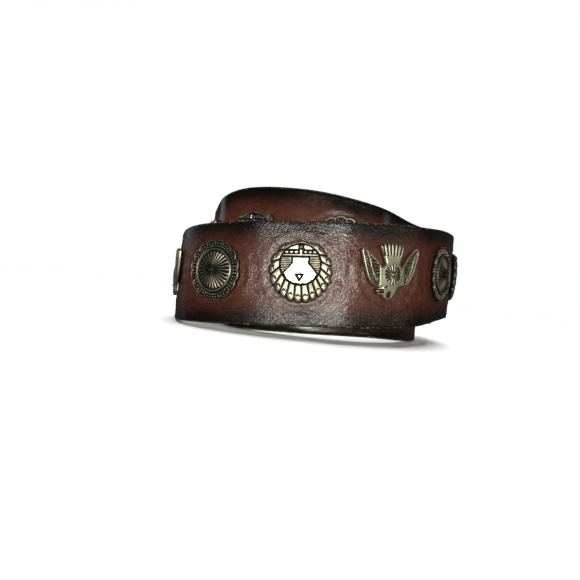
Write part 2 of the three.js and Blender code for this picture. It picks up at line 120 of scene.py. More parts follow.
# The roll's centre in the frame, from the keeper of the CAD model
BACK_DEPTH = HALF_DEPTH + TURN_PITCH / 2 + FREE_END_OFF
ROLL_CENTRE = np.array([
    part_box("keeper")[0][0] / MM - (FREE_END_STRAIGHT - KEEPER_AT - KEEPER_WIDTH / 2),
    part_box("keeper")[1][1] / MM - (BACK_DEPTH + STRAP_THICKNESS / 2 + KEEPER_ROOM + KEEPER_WALL),
    0.0,
])


# The path of the strap

def smooth(x, low, high):
    t = np.clip((x - low) / (high - low), 0, 1)
    return t * t * (3 - 2 * t)


def hermite(start, end, leaving, arriving, t):
    """Cubic from start to end as t goes from 0 to 1, by its slopes there."""
    return (start * (2 * t ** 3 - 3 * t ** 2 + 1) + end * (3 * t ** 2 - 2 * t ** 3)
            + leaving * (t ** 3 - 2 * t ** 2 + t) + arriving * (t ** 3 - t ** 2))


def unit(v):
    return v / np.linalg.norm(v, axis=-1, keepdims=True)


def roll_point(angle):
    turns = (angle - FRONT_ANGLE) / 360
    cos = np.cos(np.radians(angle))
    sin = np.sin(np.radians(angle))
    off = FREE_END_OFF * (1 - smooth(angle, BACK_ANGLE, LEFT_ANGLE))
    inner = smooth(angle, FRONT_ANGLE, INNER_ANGLE)
    power = SQUARENESS - SKEW * cos + BACK_SQUARENESS * np.maximum(sin, 0) * inner
    width = HALF_WIDTH - turns * TURN_PITCH - np.where(cos < 0, LEFT_DRAW * inner, 0)
    depth = HALF_DEPTH - turns * TURN_PITCH + off
    reach = (np.abs(cos / width) ** power + np.abs(sin / depth) ** power) ** (-1 / power)
    return np.stack([reach * cos, reach * sin], -1)


def trace_roll():
    """Distances along the strap, with their points and angles along the roll."""
    angle = np.arange(BACK_ANGLE, END_ANGLE, ANGLE_STEP)
    points = roll_point(angle)
    start = points[0] + [FREE_END_STRAIGHT, 0]
    points = np.vstack([start + [LEAD_IN, 0], start, points])
    angle = np.concatenate([[BACK_ANGLE, BACK_ANGLE], angle])
    at = np.concatenate([[0], np.cumsum(np.linalg.norm(np.diff(points, axis=0), axis=1))]) - LEAD_IN
    return at, points, angle


TRACE_AT, TRACE_POINTS, TRACE_ANGLE = trace_roll()


def traced(at):
    return np.stack([np.interp(at, TRACE_AT, TRACE_POINTS[:, i]) for i in (0, 1)], -1)


def heading(at):
    return unit(traced(at + 1) - traced(at - 1))


def lift_at(at):
    """Height of the lower edge above the floor at distances along the strap."""
    angle = np.interp(at, TRACE_AT, TRACE_ANGLE)
    key, value = LIFT.T
    slope = np.empty_like(value)
    slope[1:-1] = (value[2:] - value[:-2]) / (key[2:] - key[:-2])
    slope[0] = (value[1] - value[0]) / (key[1] - key[0])
    slope[-1] = (value[-1] - value[-2]) / (key[-1] - key[-2])
    i = np.clip(np.searchsorted(key, angle, "right") - 1, 0, len(key) - 2)
    span = key[i + 1] - key[i]
    t = np.clip((angle - key[i]) / span, 0, 1)
    return np.maximum(hermite(value[i], value[i + 1], span * slope[i], span * slope[i + 1], t), 0)


def strap_point(at):
    """Place of the strap seen from above at distances along it."""
    before, after, along = heading(at - BEND_SPAN / 2), heading(at + BEND_SPAN / 2), heading(at)
    cross = before[..., 0] * after[..., 1] - before[..., 1] * after[..., 0]
    bend = np.arctan2(cross, np.sum(before * after, -1)) / BEND_SPAN
    # Over the studded stretch the leather stays flatter under each stud
    first = FRONT_STUD_AT + FIRST_STUD * STUD_SPACING
    last = first + (STUD_COUNT - 1) * STUD_SPACING
    studded = (np.clip((at - first + STUD_SPACING) / (STUD_SPACING / 2), 0, 1)
               * np.clip((last + STUD_SPACING - at) / (STUD_SPACING / 2), 0, 1))
    wave = STUD_SPACING / (2 * math.pi)
    shift = -STIFFNESS_UNDER_STUD * bend * wave ** 2 * studded * np.cos((at - FRONT_STUD_AT) / wave)
    return traced(at) + np.stack([along[..., 1], -along[..., 0]], -1) * shift[..., None]


def strap_frames(at):
    """Centre, along, up and out directions of the strap at distances along it."""
    at = np.asarray(at, float)
    flat = unit(strap_point(at + 1) - strap_point(at - 1))
    rise = (lift_at(at + 1) - lift_at(at - 1)) / 2
    along = unit(np.concatenate([flat, rise[..., None]], -1))
    out = np.stack([flat[..., 1], -flat[..., 0], np.zeros_like(rise)], -1)
    up = np.cross(out, along)
    centre = np.concatenate([strap_point(at), (lift_at(at) + STRAP_WIDTH / 2)[..., None]], -1) + ROLL_CENTRE
    return centre, along, up, out


def matrix_at(at, up_by=0.0, out_by=0.0):
    """Place on the strap as a 4 by 4 matrix in millimetres: x along, y up its width, z out."""
    centre, along, up, out = strap_frames(at)
    matrix = np.eye(4)
    matrix[:3, 0], matrix[:3, 1], matrix[:3, 2] = along, up, out
    matrix[:3, 3] = centre + up * up_by + out * out_by
    return matrix


# Meshes

def new_mesh(name, points, faces, shade_smooth=True, **attributes):
    """Mesh in metres from points in millimetres, with a number or a vector of each name at a point."""
    mesh = bpy.data.meshes.new(name)
    mesh.from_pydata((np.asarray(points) * MM).tolist(), [], [tuple(map(int, face)) for face in faces])
    for key, values in attributes.items():
        values = np.asarray(values, np.float32)
        kind, field = ("FLOAT", "value") if values.ndim == 1 else ("FLOAT_VECTOR", "vector")
        mesh.attributes.new(key, kind, "POINT").data.foreach_set(field, values.ravel())
    mesh.polygons.foreach_set("use_smooth", np.full(len(mesh.polygons), shade_smooth))
    mesh.update()
    return mesh


def store_uv(mesh, uv):
    """Store the map that the leather follows: metres along and across at each point."""
    corners = np.empty(len(mesh.loops), np.int32)
    mesh.loops.foreach_get("vertex_index", corners)
    mesh.uv_layers.new(name="strap").data.foreach_set("uv", uv[corners].astype(np.float32).ravel())


def face_outward(mesh):
    work = bmesh.new()
    work.from_mesh(mesh)
    bmesh.ops.recalc_face_normals(work, faces=work.faces)
    work.to_mesh(mesh)
    work.free()


def new_object(name, data):
    thing = bpy.data.objects.new(name, data)
    bpy.context.scene.collection.objects.link(thing)
    return thing


def finish_piece(name, mesh, slot, *nodes):
    piece = new_object(name, mesh)
    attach(piece, BODY)
    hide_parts(*nodes)


class Shell:
    """Closed surfaces gathered into one mesh, with how worn and how polished each point is."""

    def __init__(self):
        self.points, self.faces, self.worn, self.polished = [], [], [], []
        self.count = 0

    def add(self, points, faces, worn, polished=0.0):
        self.points.append(points)
        self.faces += [tuple(int(i) + self.count for i in face) for face in faces]
        self.worn.append(np.broadcast_to(worn, len(points)))
        self.polished.append(np.broadcast_to(polished, len(points)))
        self.count += len(points)

    def mesh(self, name, matrix=np.eye(4)):
        points = np.vstack(self.points) @ matrix[:3, :3].T + matrix[:3, 3]
        return new_mesh(name, points, self.faces, worn=np.concatenate(self.worn),
                        polished=np.concatenate(self.polished))


def ring_of(turn, radius, *rest):
    """Ring of points by their angles, each with its height and what else is given."""
    return np.column_stack(np.broadcast_arrays(radius * np.cos(turn), radius * np.sin(turn), *rest))


def rings_to_shell(rings, top_worn):
    """Closed surface through rings of (x, y, z, worn), from the top one out and down to the bottom one."""
    rings, worn = np.array(rings)[..., :3], np.array(rings)[..., 3]
    count, sides = worn.shape
    points = np.vstack([rings.reshape(-1, 3), rings[0].mean(0), rings[-1].mean(0)])
    low, top, bottom = (count - 1) * sides, count * sides, count * sides + 1
    faces = []
    for side in range(sides):
        after = (side + 1) % sides
        faces.append((top, side, after))
        faces += [(a + side, a + sides + side, a + sides + after, a + after) for a in range(0, low, sides)]
        faces.append((bottom, low + after, low + side))
    return points, faces, np.concatenate([np.ravel(worn), [top_worn, 0.0]])


def spun(profile, sides):
    """Turned piece about local z from a list of (radius, height, worn)."""
    turn = np.linspace(0, 2 * math.pi, sides, endpoint=False)
    return rings_to_shell([ring_of(turn, *row) for row in profile], profile[0][2])


def bevelled_bar(half_length, half_width, low, high, bevel):
    """Small bar with bevelled upper edges."""
    corners = np.array([(-1, -1), (1, -1), (1, 1), (-1, 1)])
    rows = [(half_length - bevel, half_width - bevel, high), (half_length, half_width, high - bevel),
            (half_length, half_width, low)]
    points = np.vstack([np.column_stack([corners * (x, y), np.full(4, z)]) for x, y, z in rows])
    faces = [(0, 1, 2, 3), (11, 10, 9, 8)]
    faces += [(a + (i + 1) % 4, a + i, a + 4 + i, a + 4 + (i + 1) % 4) for a in (0, 4) for i in range(4)]
    return points, faces, np.repeat([1.0, 0.9, 0.05], 4)


def smooth_closed(corners, steps):
    """Closed curve through corners, each [x, y, sharp], with a straight kink where sharp is 1."""
    corners = np.asarray(corners, float)
    line = []
    for before, start, end, after in zip(*(np.roll(corners, -k, 0) for k in (-1, 0, 1, 2))):
        leaving = (end - before)[:2] / 2 * (1 - start[2])
        arriving = (after - start)[:2] / 2 * (1 - end[2])
        line += [hermite(start[:2], end[:2], leaving, arriving, t) for t in np.arange(steps) / steps]
    return np.array(line)


def distance_to_line(points, line, closed=True):
    """Distance from each point to the nearest place on a polyline."""
    line = np.asarray(line)
    ends = np.roll(line, -1, 0) if closed else line[1:]
    best = np.full(len(points), np.inf)
    for a, b in zip(line, ends):
        ab = b - a
        t = np.clip(((points - a) @ ab) / (ab @ ab), 0, 1)
        best = np.minimum(best, np.linalg.norm(points - a - t[:, None] * ab, axis=1))
    return best


def inside(points, line):
    x, y = points.T
    result = np.zeros(len(points), bool)
    for (x1, y1), (x2, y2) in zip(line, np.roll(line, -1, 0)):
        crosses = (y1 > y) != (y2 > y)
        result ^= crosses & (x < (x2 - x1) * (y - y1) / (y2 - y1 + 1e-12) + x1)
    return result


# Materials

def linear(hex_colour):
    """Linear colour from an sRGB hex value."""
    channels = [int(hex_colour[i:i + 2], 16) / 255 for i in (0, 2, 4)]
    return [c / 12.92 if c <= 0.04045 else ((c + 0.055) / 1.055) ** 2.4 for c in channels] + [1.0]


def add_node(tree, kind, inputs=None, stops=(), **settings):
    """Add a node. An input is a value, or a socket or node that feeds it, and stops are a colour ramp's."""
    new = tree.nodes.new(kind)
    for key, value in settings.items():
        setattr(new, key, value)
    for key, value in (inputs or {}).items():
        source = value.outputs[0] if isinstance(value, bpy.types.Node) else value
        if isinstance(source, bpy.types.NodeSocket):
            tree.links.new(source, new.inputs[key])
        else:
            new.inputs[key].default_value = value
    for i, (place, colour) in enumerate(stops):
        stop = new.color_ramp.elements[i] if i < 2 else new.color_ramp.elements.new(place)
        stop.position, stop.color = place, linear(colour)
    return new


def new_material(name, **values):
    """Material, its shader and what adds a node to it."""
    material = bpy.data.materials.new(name)
    material.use_nodes = True
    material.node_tree.nodes.clear()
    add = partial(add_node, material.node_tree)
    shader = add("ShaderNodeBsdfPrincipled", {key.replace("_", " "): value for key, value in values.items()})
    add("ShaderNodeOutputMaterial", {"Surface": shader})
    return material, shader, add


def wire(material, shader, **sources):
    for key, source in sources.items():
        material.node_tree.links.new(source.outputs[0], shader.inputs[key.replace("_", " ")])
    return material


def dyed(add, across, cloud):
    """Brown in the middle of the strap and black towards its edges."""
    # The distance from the middle, in metres, wanders by 2 mm
    middle = add("ShaderNodeMath", {0: across}, operation="ABSOLUTE")
    wander = add("ShaderNodeMath", {0: cloud, 1: 0.008, 2: -0.004}, operation="MULTIPLY_ADD")
    dye_at = add("ShaderNodeMath", {0: middle, 1: wander}, operation="ADD")
    edge = add("ShaderNodeMapRange", {"Value": dye_at, "From Min": 0.0092, "From Max": 0.019})
    return add("ShaderNodeValToRGB", {0: edge},
               [(0.0, "5E3428"), (1.0, "0A0706"), (0.4, "45251B"), (0.68, "1C110D")])


def wrinkled(add, uv):
    """Height of plump wrinkles with thin creases between them, on a pebble grain of 0.7 mm."""
    flow = add("ShaderNodeAttribute", attribute_name="flow").outputs["Vector"]
    streaks = add("ShaderNodeMapping", {"Vector": flow, "Scale": (2.2, 0.75, 1.0)})
    wrinkle = add("ShaderNodeTexNoise", {"Vector": streaks, "Scale": 1.0, "Detail": 2.0, "Roughness": 0.55,
                                         "Distortion": 0.4})
    slit = add("ShaderNodeMath", {0: wrinkle, 1: 0.5, 2: 0.06}, operation="COMPARE")
    pebble = add("ShaderNodeTexVoronoi", {"Vector": uv, "Scale": 1500.0, "Smoothness": 0.4},
                 feature="SMOOTH_F1")
    pebbled = add("ShaderNodeMath", {0: pebble, 1: -0.34, 2: wrinkle}, operation="MULTIPLY_ADD")
    return add("ShaderNodeMath", {0: slit, 1: -0.06, 2: pebbled}, operation="MULTIPLY_ADD")


def grain_leather():
    # Full-grain cowhide, dyed reddish brown, rubbed to black towards its edges and waxed: a semi-gloss skin.
    # Its fine wrinkles are about 0.5 mm apart and 1.3 mm long, and run in rings round each stud.
    material, shader, add = new_material("full_grain_leather_waxed", Specular_IOR_Level=0.6)
    uv = add("ShaderNodeUVMap", uv_map="strap")
    along, across, _ = add("ShaderNodeSeparateXYZ", {0: uv}).outputs
    # Clouds of dye 13 mm wide, and mottling of 2.4 mm
    cloud = add("ShaderNodeTexNoise", {"Vector": uv, "Scale": 75.0, "Detail": 4.0, "Roughness": 0.6})
    mottle = add("ShaderNodeTexNoise", {"Vector": uv, "Scale": 420.0, "Detail": 3.0, "Roughness": 0.65})
    height = wrinkled(add, uv)
    swell = add("ShaderNodeMath", {0: cloud, 1: 1.5, 2: height}, operation="MULTIPLY_ADD")
    # The outermost turn, which is bent and rubbed most, is wrinkled more than the turns inside it
    depth = add("ShaderNodeMapRange", {"Value": along, "From Min": 0.29, "From Max": 0.35,
                                       "To Min": 1.0, "To Max": 0.15})
    bump = add("ShaderNodeBump", {"Height": swell, "Strength": depth, "Distance": 0.00021})
    # Painted shade and highlight: the colour is darker in the creases and pores and lighter on the raised
    # skin between them, as light falls on the wrinkles
    painted_crease_shade = add("ShaderNodeMapRange", {"Value": height, "From Min": 0.12, "From Max": 0.5,
                                        "To Min": 0.62, "To Max": 1.12})
    shade = add("ShaderNodeMapRange", {"Value": mottle, "From Min": 0.3, "From Max": 0.7,
                                       "To Min": 0.78, "To Max": 1.18})
    tone = add("ShaderNodeMath", {0: painted_crease_shade, 1: shade}, operation="MULTIPLY")
    colour = add("ShaderNodeVectorMath", {0: dyed(add, across, cloud), "Scale": tone}, operation="SCALE")
    # The wax is rubbed bright on the high places and stays dull in the creases. It lies smoother on the turns
    # inside the outermost one.
    smoother = add("ShaderNodeMath", {0: depth, 1: 0.08, 2: -0.08}, operation="MULTIPLY_ADD")
    waxed = add("ShaderNodeMapRange", {"Value": height, "From Min": 0.16, "From Max": 0.42,
                                       "To Min": 0.3, "To Max": 0.19})
    rough = add("ShaderNodeMath", {0: waxed, 1: smoother}, operation="ADD")
    return wire(material, shader, Base_Color=colour, Roughness=rough, Normal=bump)


def flesh_leather():
    # The flesh side of the same hide, shaved and dyed through: matt, with short loose fibres of 0.7 mm and
    # clouds of 11 mm.
    material, shader, add = new_material("split_leather_flesh_side", Roughness=0.9, Specular_IOR_Level=0.2)
    uv = add("ShaderNodeUVMap", uv_map="strap")
    cloud = add("ShaderNodeTexNoise", {"Vector": uv, "Scale": 90.0, "Detail": 5.0, "Roughness": 0.7})
    fibre = add("ShaderNodeTexNoise", {"Vector": uv, "Scale": 1500.0, "Detail": 4.0, "Roughness": 0.75})
    both = add("ShaderNodeMath", {0: cloud, 1: fibre}, operation="ADD")
    half = add("ShaderNodeMath", {0: both, 1: 0.5}, operation="MULTIPLY")
    colour = add("ShaderNodeValToRGB", {0: half}, [(0.35, "2A1B14"), (0.65, "5A3F31"), (0.5, "3F2A20")])
    bump = add("ShaderNodeBump", {"Height": fibre, "Strength": 0.7, "Distance": 0.0003})
    return wire(material, shader, Base_Color=colour, Normal=bump)


def edge_leather():
    # Cut edge of the hide, inked black and rubbed, with pale fibre worn through in flecks under 1 mm long.
    material, shader, add = new_material("burnished_leather_edge", Roughness=0.5, Specular_IOR_Level=0.3)
    place = add("ShaderNodeTexCoord").outputs["Object"]
    fleck = add("ShaderNodeTexNoise", {"Vector": place, "Scale": 1100.0, "Detail": 4.0, "Roughness": 0.7})
    colour = add("ShaderNodeValToRGB", {0: fleck}, [(0.46, "14100E"), (0.68, "B0A092"), (0.57, "3C312A")])
    bump = add("ShaderNodeBump", {"Height": fleck, "Strength": 0.6, "Distance": 0.0003})
    return wire(material, shader, Base_Color=colour, Normal=bump)


def antiqued_metal():
    # Cast zinc alloy plated with silver, blackened and then buffed: bright on what stands high, black in the
    # hollows, and a warm greenish grey in between. The panels that are polished flat stay clean. Stains are
    # 3 mm wide, and the casting's grit is 0.5 mm.
    material, shader, add = new_material("antiqued_cast_silver_plate")
    place = add("ShaderNodeTexCoord").outputs["Object"]
    worn = add("ShaderNodeAttribute", attribute_name="worn").outputs["Fac"]
    polished = add("ShaderNodeAttribute", attribute_name="polished").outputs["Fac"]
    stain = add("ShaderNodeTexNoise", {"Vector": place, "Scale": 300.0, "Detail": 4.0, "Roughness": 0.6})
    grit = add("ShaderNodeTexNoise", {"Vector": place, "Scale": 1900.0, "Detail": 3.0, "Roughness": 0.6})
    spread = add("ShaderNodeMapRange", {"Value": polished, "To Min": 0.75, "To Max": 0.04})
    blotch = add("ShaderNodeMath", {0: stain, 1: -0.52}, operation="ADD")
    kept = add("ShaderNodeMath", {0: blotch, 1: spread, 2: worn}, operation="MULTIPLY_ADD")
    silver = add("ShaderNodeValToRGB", {0: kept},
                 [(0.06, "080705"), (0.94, "D2CFBA"), (0.34, "373227"), (0.62, "86816C")])
    metallic = add("ShaderNodeMapRange", {"Value": kept, "From Min": 0.05, "From Max": 0.4, "To Min": 0.4})
    buffed = add("ShaderNodeMapRange", {"Value": kept, "To Min": 0.6, "To Max": 0.36})
    gloss = add("ShaderNodeMath", {0: polished, 1: -0.14, 2: buffed}, operation="MULTIPLY_ADD")
    rough = add("ShaderNodeMath", {0: grit, 1: 0.1, 2: gloss}, operation="MULTIPLY_ADD")
    bump = add("ShaderNodeBump", {"Height": grit, "Strength": 0.3, "Distance": 0.00008})
    return wire(material, shader, Base_Color=silver, Metallic=metallic, Roughness=rough, Normal=bump)


GRAIN = grain_leather()
FLESH = flesh_leather()
EDGE = edge_leather()
SILVER = antiqued_metal()


# The studs

def stud_at(index):
    """Kind of a stud by its number, its place along the strap and how far up the width it stands."""
    kind = STUD_KINDS[min(index, 2 * MIDDLE_STUD - index) % 3]
    return kind, FRONT_STUD_AT + index * STUD_SPACING, STUD_UP + SET_OFF_LINE.get(index, 0)


def add_post(shell):
    """Post through the strap and the domed, peened head behind it."""
    head = -(GAP + STRAP_THICKNESS + GAP)
    post = [(POST_RADIUS * 0.5, 0.4, 0.2), (POST_RADIUS, 0.3, 0.2), (POST_RADIUS, head - 0.2, 0.2)]
    shell.add(*spun(post, 12))
    dome = [(HEAD_RADIUS * 0.97, head, 0.3), (HEAD_RADIUS, head - 0.15, 0.5),
            (HEAD_RADIUS * 0.9, head - 0.38, 0.75), (HEAD_RADIUS * 0.6, head - 0.54, 0.85),
            (HEAD_RADIUS * 0.25, head - HEAD_THICKNESS, 0.9)]
    shell.add(*spun(dome, 24))


SCALLOPS = 16
SCALLOP_DEPTH = 0.75
FLUTES = 28
ROUND_RADIUS = 11.5
DOME_RADIUS, DOME_PEAK, DOME_FOOT = 6.9, 2.6, 1.2
GROUND_FROM = 8.5  # radius where the sunk ground of the beads begins


def round_concho():
    """Scalloped concho: a fluted dome inside a smooth ring, a sunk ground and a raised scalloped lip."""
    turn = np.linspace(0, 2 * math.pi, SCALLOPS * 14, endpoint=False)
    scallop = np.abs(np.sin(SCALLOPS * turn / 2)) ** 0.7
    outline = ROUND_RADIUS - SCALLOP_DEPTH + SCALLOP_DEPTH * scallop
    flute = 0.5 + 0.5 * np.cos(FLUTES * turn)
    rings = []
    for share in (0.05, 0.1, 0.17, 0.26, 0.36, 0.47, 0.58, 0.68, 0.78, 0.87, 0.94, 1.0):
        fall = DOME_PEAK - (DOME_PEAK - DOME_FOOT) * (0.55 * share + 0.45 * share ** 2)
        depth = 0.55 * smooth(share, 0.06, 0.4) * (1 - 0.15 * smooth(share, 0.85, 1.0))
        worn = 0.05 + 1.0 * flute ** 1.6 * smooth(share, 0.1, 0.5) * (0.55 + 0.45 * share)
        rings.append(ring_of(turn, DOME_RADIUS * share, fall - depth * (1 - flute), worn))
    for radius, height, worn in ((7.15, 0.75, 0.0), (7.35, 1.1, 0.1), (7.55, 1.55, 0.65), (7.82, 1.72, 0.95),
                                 (8.05, 1.62, 0.8), (8.3, 1.2, 0.2), (GROUND_FROM, 0.75, 0.0)):
        rings.append(ring_of(turn, radius, height, worn))
    for share, worn in ((0.35, 0.0), (0.62, 0.05)):
        rings.append(ring_of(turn, GROUND_FROM + (outline - GROUND_FROM) * share, 0.72, worn))
    for inset, height, worn in ((0.62, 0.8, 0.1), (0.46, 1.08, 0.55), (0.28, 1.18, 0.85), (0.12, 1.08, 0.7),
                                (0.0, 0.8, 0.3), (-0.02, 0.3, 0.1), (0.0, 0.0, 0.0)):
        rings.append(ring_of(turn, outline - inset, height, worn))
    shell = Shell()
    shell.add(*rings_to_shell(rings, 0.9))
    shell.add(*bevelled_bar(1.1, 0.12, 2.0, 2.75, 0.08))
    add_post(shell)
    return shell


def grid_inside(outline, spacing):
    """Points of an even triangular grid within an outline, a little off its edge."""
    (x0, y0), (x1, y1) = outline.min(0), outline.max(0)
    rows = []
    for k, y in enumerate(np.arange(y0, y1, spacing * 0.866)):
        x = np.arange(x0 + (k % 2) * spacing / 2, x1, spacing)
        rows.append(np.column_stack([x, np.full(len(x), y)]))
    grid = np.vstack(rows)
    grid = grid[inside(grid, outline)]
    return grid[distance_to_line(grid, outline) > spacing * 0.5]


def cast_relief(outline, relief, spacing):
    """Flat-backed casting over an anticlockwise outline, with the height and finish that a relief gives."""
    count = len(outline)
    start = [Vector(p) for p in np.vstack([outline, grid_inside(outline, spacing)])]
    rim = [(i, (i + 1) % count) for i in range(count)]
    flat, _, tops, *_ = delaunay_2d_cdt(start, rim, [], 1, 1e-6)
    flat = np.array([tuple(p) for p in flat])
    total = len(flat)
    height, worn, polished = relief(flat, distance_to_line(flat, outline))
    points = np.vstack([np.column_stack([flat, height]), np.column_stack([flat[:count], np.zeros(count)])])
    walls = [(i, total + i, total + j, j) for i, j in rim]
    back = tuple(range(total + count - 1, total - 1, -1))
    shell = Shell()
    shell.add(points, tops + walls + [back], np.concatenate([np.clip(worn, 0, 1), np.zeros(count)]),
              np.concatenate([polished, np.zeros(count)]))
    add_post(shell)
    return shell


def rounded(edge, width):
    return np.sqrt(1 - (1 - np.clip(edge / width, 0, 1)) ** 2)


def groove(far, half_width):
    """1 in the middle of a cut line, falling to 0 at its lips."""
    return 1 - smooth(far, half_width * 0.45, half_width * 1.35)


def about(centre, radius, turn):
    """Point on a circle, by its angle in degrees from straight down, anticlockwise."""
    turn = np.radians(turn)
    return np.array([centre[0] + radius * np.sin(turn), centre[1] - radius * np.cos(turn)])


# Lines between the sun's feathers: angle at the disc's edge and at the rim, in degrees from straight down
SUN_SEAMS = [(-137, -127), (-104, -104), (-83, -80), (-63, -58), (-46, -42), (-30, -27), (-13, -11),
             (4, 4), (21, 19), (36, 33), (51, 47), (64, 62), (80, 78), (99, 97), (118, 119)]
MIDDLE = (0, 0)
DISC_CENTRE, DISC_RADIUS = (-0.1, 2.4), 7.25
SUN_TIP, SUN_DIP = 11.4, 10.9
# The rim's top: angle in degrees from straight down, radius
SUN_CROWN = [(146, 11.75), (166, 10.5), (180, 11.3), (194, 10.5), (214, 11.7)]
SUN_PANEL = [(-3.0, 5.0), (-2.95, 2.85), (-6.2, -0.8), (-4.9, -3.0), (-2.7, -4.3), (-0.1, -4.7), (2.5, -4.3),
             (4.7, -3.0), (5.95, -0.8), (2.8, 2.95), (3.05, 5.0)]
SUN_MOUTH = [(-1.6, -1.15), (1.0, -1.15), (-0.35, -3.2)]
SUN_BROWS = [[(-4.75, 7.7), (-0.95, 7.6), (-0.8, 9.2), (-2.2, 8.95), (-3.6, 8.35)],
             [(1.2, 7.6), (5.1, 7.6), (3.9, 8.4), (2.6, 8.9), (1.1, 9.2)]]
SUN_BLOCKS = [(-5.5, -4.4), (-3.9, -2.75), (-2.2, -1.1), (1.2, 2.2), (2.75, 3.8), (4.35, 5.4)]


def sun_outline():
    corners = [(*about(MIDDLE, SUN_DIP, SUN_SEAMS[0][1]), 1)]
    for (_, start), (_, end) in zip(SUN_SEAMS, SUN_SEAMS[1:]):
        corners += [(*about(MIDDLE, SUN_TIP, start * (1 - t) + end * t), 0) for t in (0.3, 0.7)]
        corners.append((*about(MIDDLE, SUN_DIP, end), 1))
    corners += [(*about(MIDDLE, radius, turn), 0) for turn, radius in SUN_CROWN]
    return smooth_closed(corners, 5)


def sun_cuts(flat):
    """How deep the seams and chevrons of the feathers are cut, and how far a point is from a seam."""
    seams = np.full(len(flat), 9.0)
    for at_disc, at_rim in SUN_SEAMS:
        line = [about(DISC_CENTRE, DISC_RADIUS, at_disc), about(MIDDLE, SUN_TIP, at_rim)]
        seams = np.minimum(seams, distance_to_line(flat, line, closed=False))
    marks = np.full(len(flat), 9.0)
    middles = [((a0 + a1) / 2, (b0 + b1) / 2) for (a0, b0), (a1, b1) in zip(SUN_SEAMS, SUN_SEAMS[1:])]
    for at_disc, at_rim in [(-155, -140), *middles, (135, 137)]:
        root, tip = about(DISC_CENTRE, DISC_RADIUS, at_disc), about(MIDDLE, SUN_TIP, at_rim)
        way = (tip - root) / np.linalg.norm(tip - root)
        side = np.array([-way[1], way[0]]) * 0.68
        point = root + (tip - root) * 0.52
        chevron = [point + way * 0.5 - side, point, point + way * 0.5 + side]
        marks = np.minimum(marks, distance_to_line(flat, chevron, closed=False))
    return np.maximum(groove(seams, 0.19), 0.8 * groove(marks, 0.15)), seams


def sun_disc(flat):
    """Height, wear and polish on the disc: cheeks hatched across, and what stands on it."""
    x, y = flat.T
    hatch = smooth(np.cos(2 * math.pi * (y - 0.1) / 0.62 + np.sign(x) * 0.4), -0.35, 0.55)
    cheeks = (np.abs(x) > 2.9) & (y < 5.05) & (y > -1.2)
    disc = np.array([np.where(cheeks, 1.62 + 0.16 * hatch, 1.5), np.where(cheeks, 0.22 + 0.62 * hatch, 0.1),
                     np.zeros(len(flat))])

    def stand(shape, *finish):
        disc[:, shape] = np.reshape(finish, (3, 1))

    stand((np.abs(y - 5.72) < 0.3) & (np.abs(x + 0.1) < 6.5), 1.95, 0.86, 0.35)
    for start, end in SUN_BLOCKS:
        stand((x > start) & (x < end) & (np.abs(y - 6.75) < 0.4), 1.98, 0.97, 0.7)
    for brow in SUN_BROWS:
        stand(inside(flat, brow), 2.02, 1.0, 0.95)
    stand(np.abs(x - 0.05) + 0.8 * np.abs(y - 6.8) < 0.75, 2.02, 0.95, 0.5)
    stand(np.abs(np.hypot(x - 0.1, y - 8.55) - 0.36) < 0.13, 1.9, 0.75, 0.2)
    stand(inside(flat, SUN_PANEL), 2.15, 1.0, 1.0)
    return disc


def sun_relief(flat, edge):
    x, y = flat.T
    from_disc = np.hypot(x - DISC_CENTRE[0], y - DISC_CENTRE[1]) - DISC_RADIUS
    out_there = smooth(from_disc, -0.05, 0.05)

    # Feathers, rounded between their seams and at their tips. The crown's border is a plain band.
    cut, seams = sun_cuts(flat)
    crown = (from_disc > 0) & (y > 8.3) & (np.abs(x) < 4.5)
    cut = np.where(crown, 0, cut * out_there)
    height = 0.55 + 1.3 * rounded(edge, 2.0) + 0.28 * rounded(seams, 1.1) - 0.28
    worn = 0.6 + 0.14 * smooth(edge, 0.1, 0.7)

    disc_height, disc_worn, disc_polished = sun_disc(flat)
    disc_cut = np.maximum(groove(distance_to_line(flat, SUN_PANEL), 0.2),
                          groove(distance_to_line(flat, SUN_MOUTH), 0.27))

    cut = np.maximum(np.where(from_disc < 0, disc_cut, cut), groove(np.abs(from_disc), 0.22))
    height = height * out_there + disc_height * (1 - out_there) - 0.42 * cut
    worn = (worn * out_there + disc_worn * (1 - out_there)) * (1 - cut)
    return height, worn, np.where(from_disc < 0, disc_polished, 0.15) * (1 - cut)


def sun_concho():
    """Sun shield: a disc with a polished panel, ringed by feathers that hang down and outwards."""
    return cast_relief(sun_outline(), sun_relief, 0.215)


# Outline of the bird from the middle of its tail, clockwise: x, y, sharp
BIRD_OUTLINE = [
    (-0.3, 11.0, 0), (2.3, 10.8, 0), (4.8, 9.8, 0.6), (4.1, 6.6, 0), (3.5, 3.9, 0.2), (4.2, 2.8, 0.5),
    (5.7, 4.8, 0), (7.3, 7.0, 0), (9.4, 9.0, 0), (11.0, 9.6, 0), (11.8, 8.6, 0), (11.5, 6.2, 0),
    (10.6, 3.4, 0), (9.3, -0.2, 0), (7.6, -3.0, 0), (5.3, -4.4, 0), (2.9, -4.9, 0.4), (2.1, -6.0, 0),
    (1.4, -7.6, 0), (0.3, -9.0, 0), (-1.6, -9.6, 0), (-3.2, -8.9, 0), (-4.0, -7.9, 0.3), (-5.6, -7.3, 0),
    (-6.6, -6.4, 0), (-6.3, -5.5, 0), (-4.6, -4.9, 0.4), (-6.5, -4.5, 0), (-8.5, -3.5, 0), (-10.1, -1.2, 0),
    (-11.2, 1.9, 0), (-12.1, 5.3, 0), (-12.8, 8.0, 0), (-12.0, 9.0, 0), (-10.1, 8.0, 0), (-8.3, 6.6, 0),
    (-6.3, 5.0, 0), (-4.3, 2.7, 0.5), (-3.2, 3.4, 0.3), (-2.9, 4.6, 0), (-4.0, 7.2, 0), (-5.2, 9.8, 0.5),
    (-2.9, 10.8, 0),
]
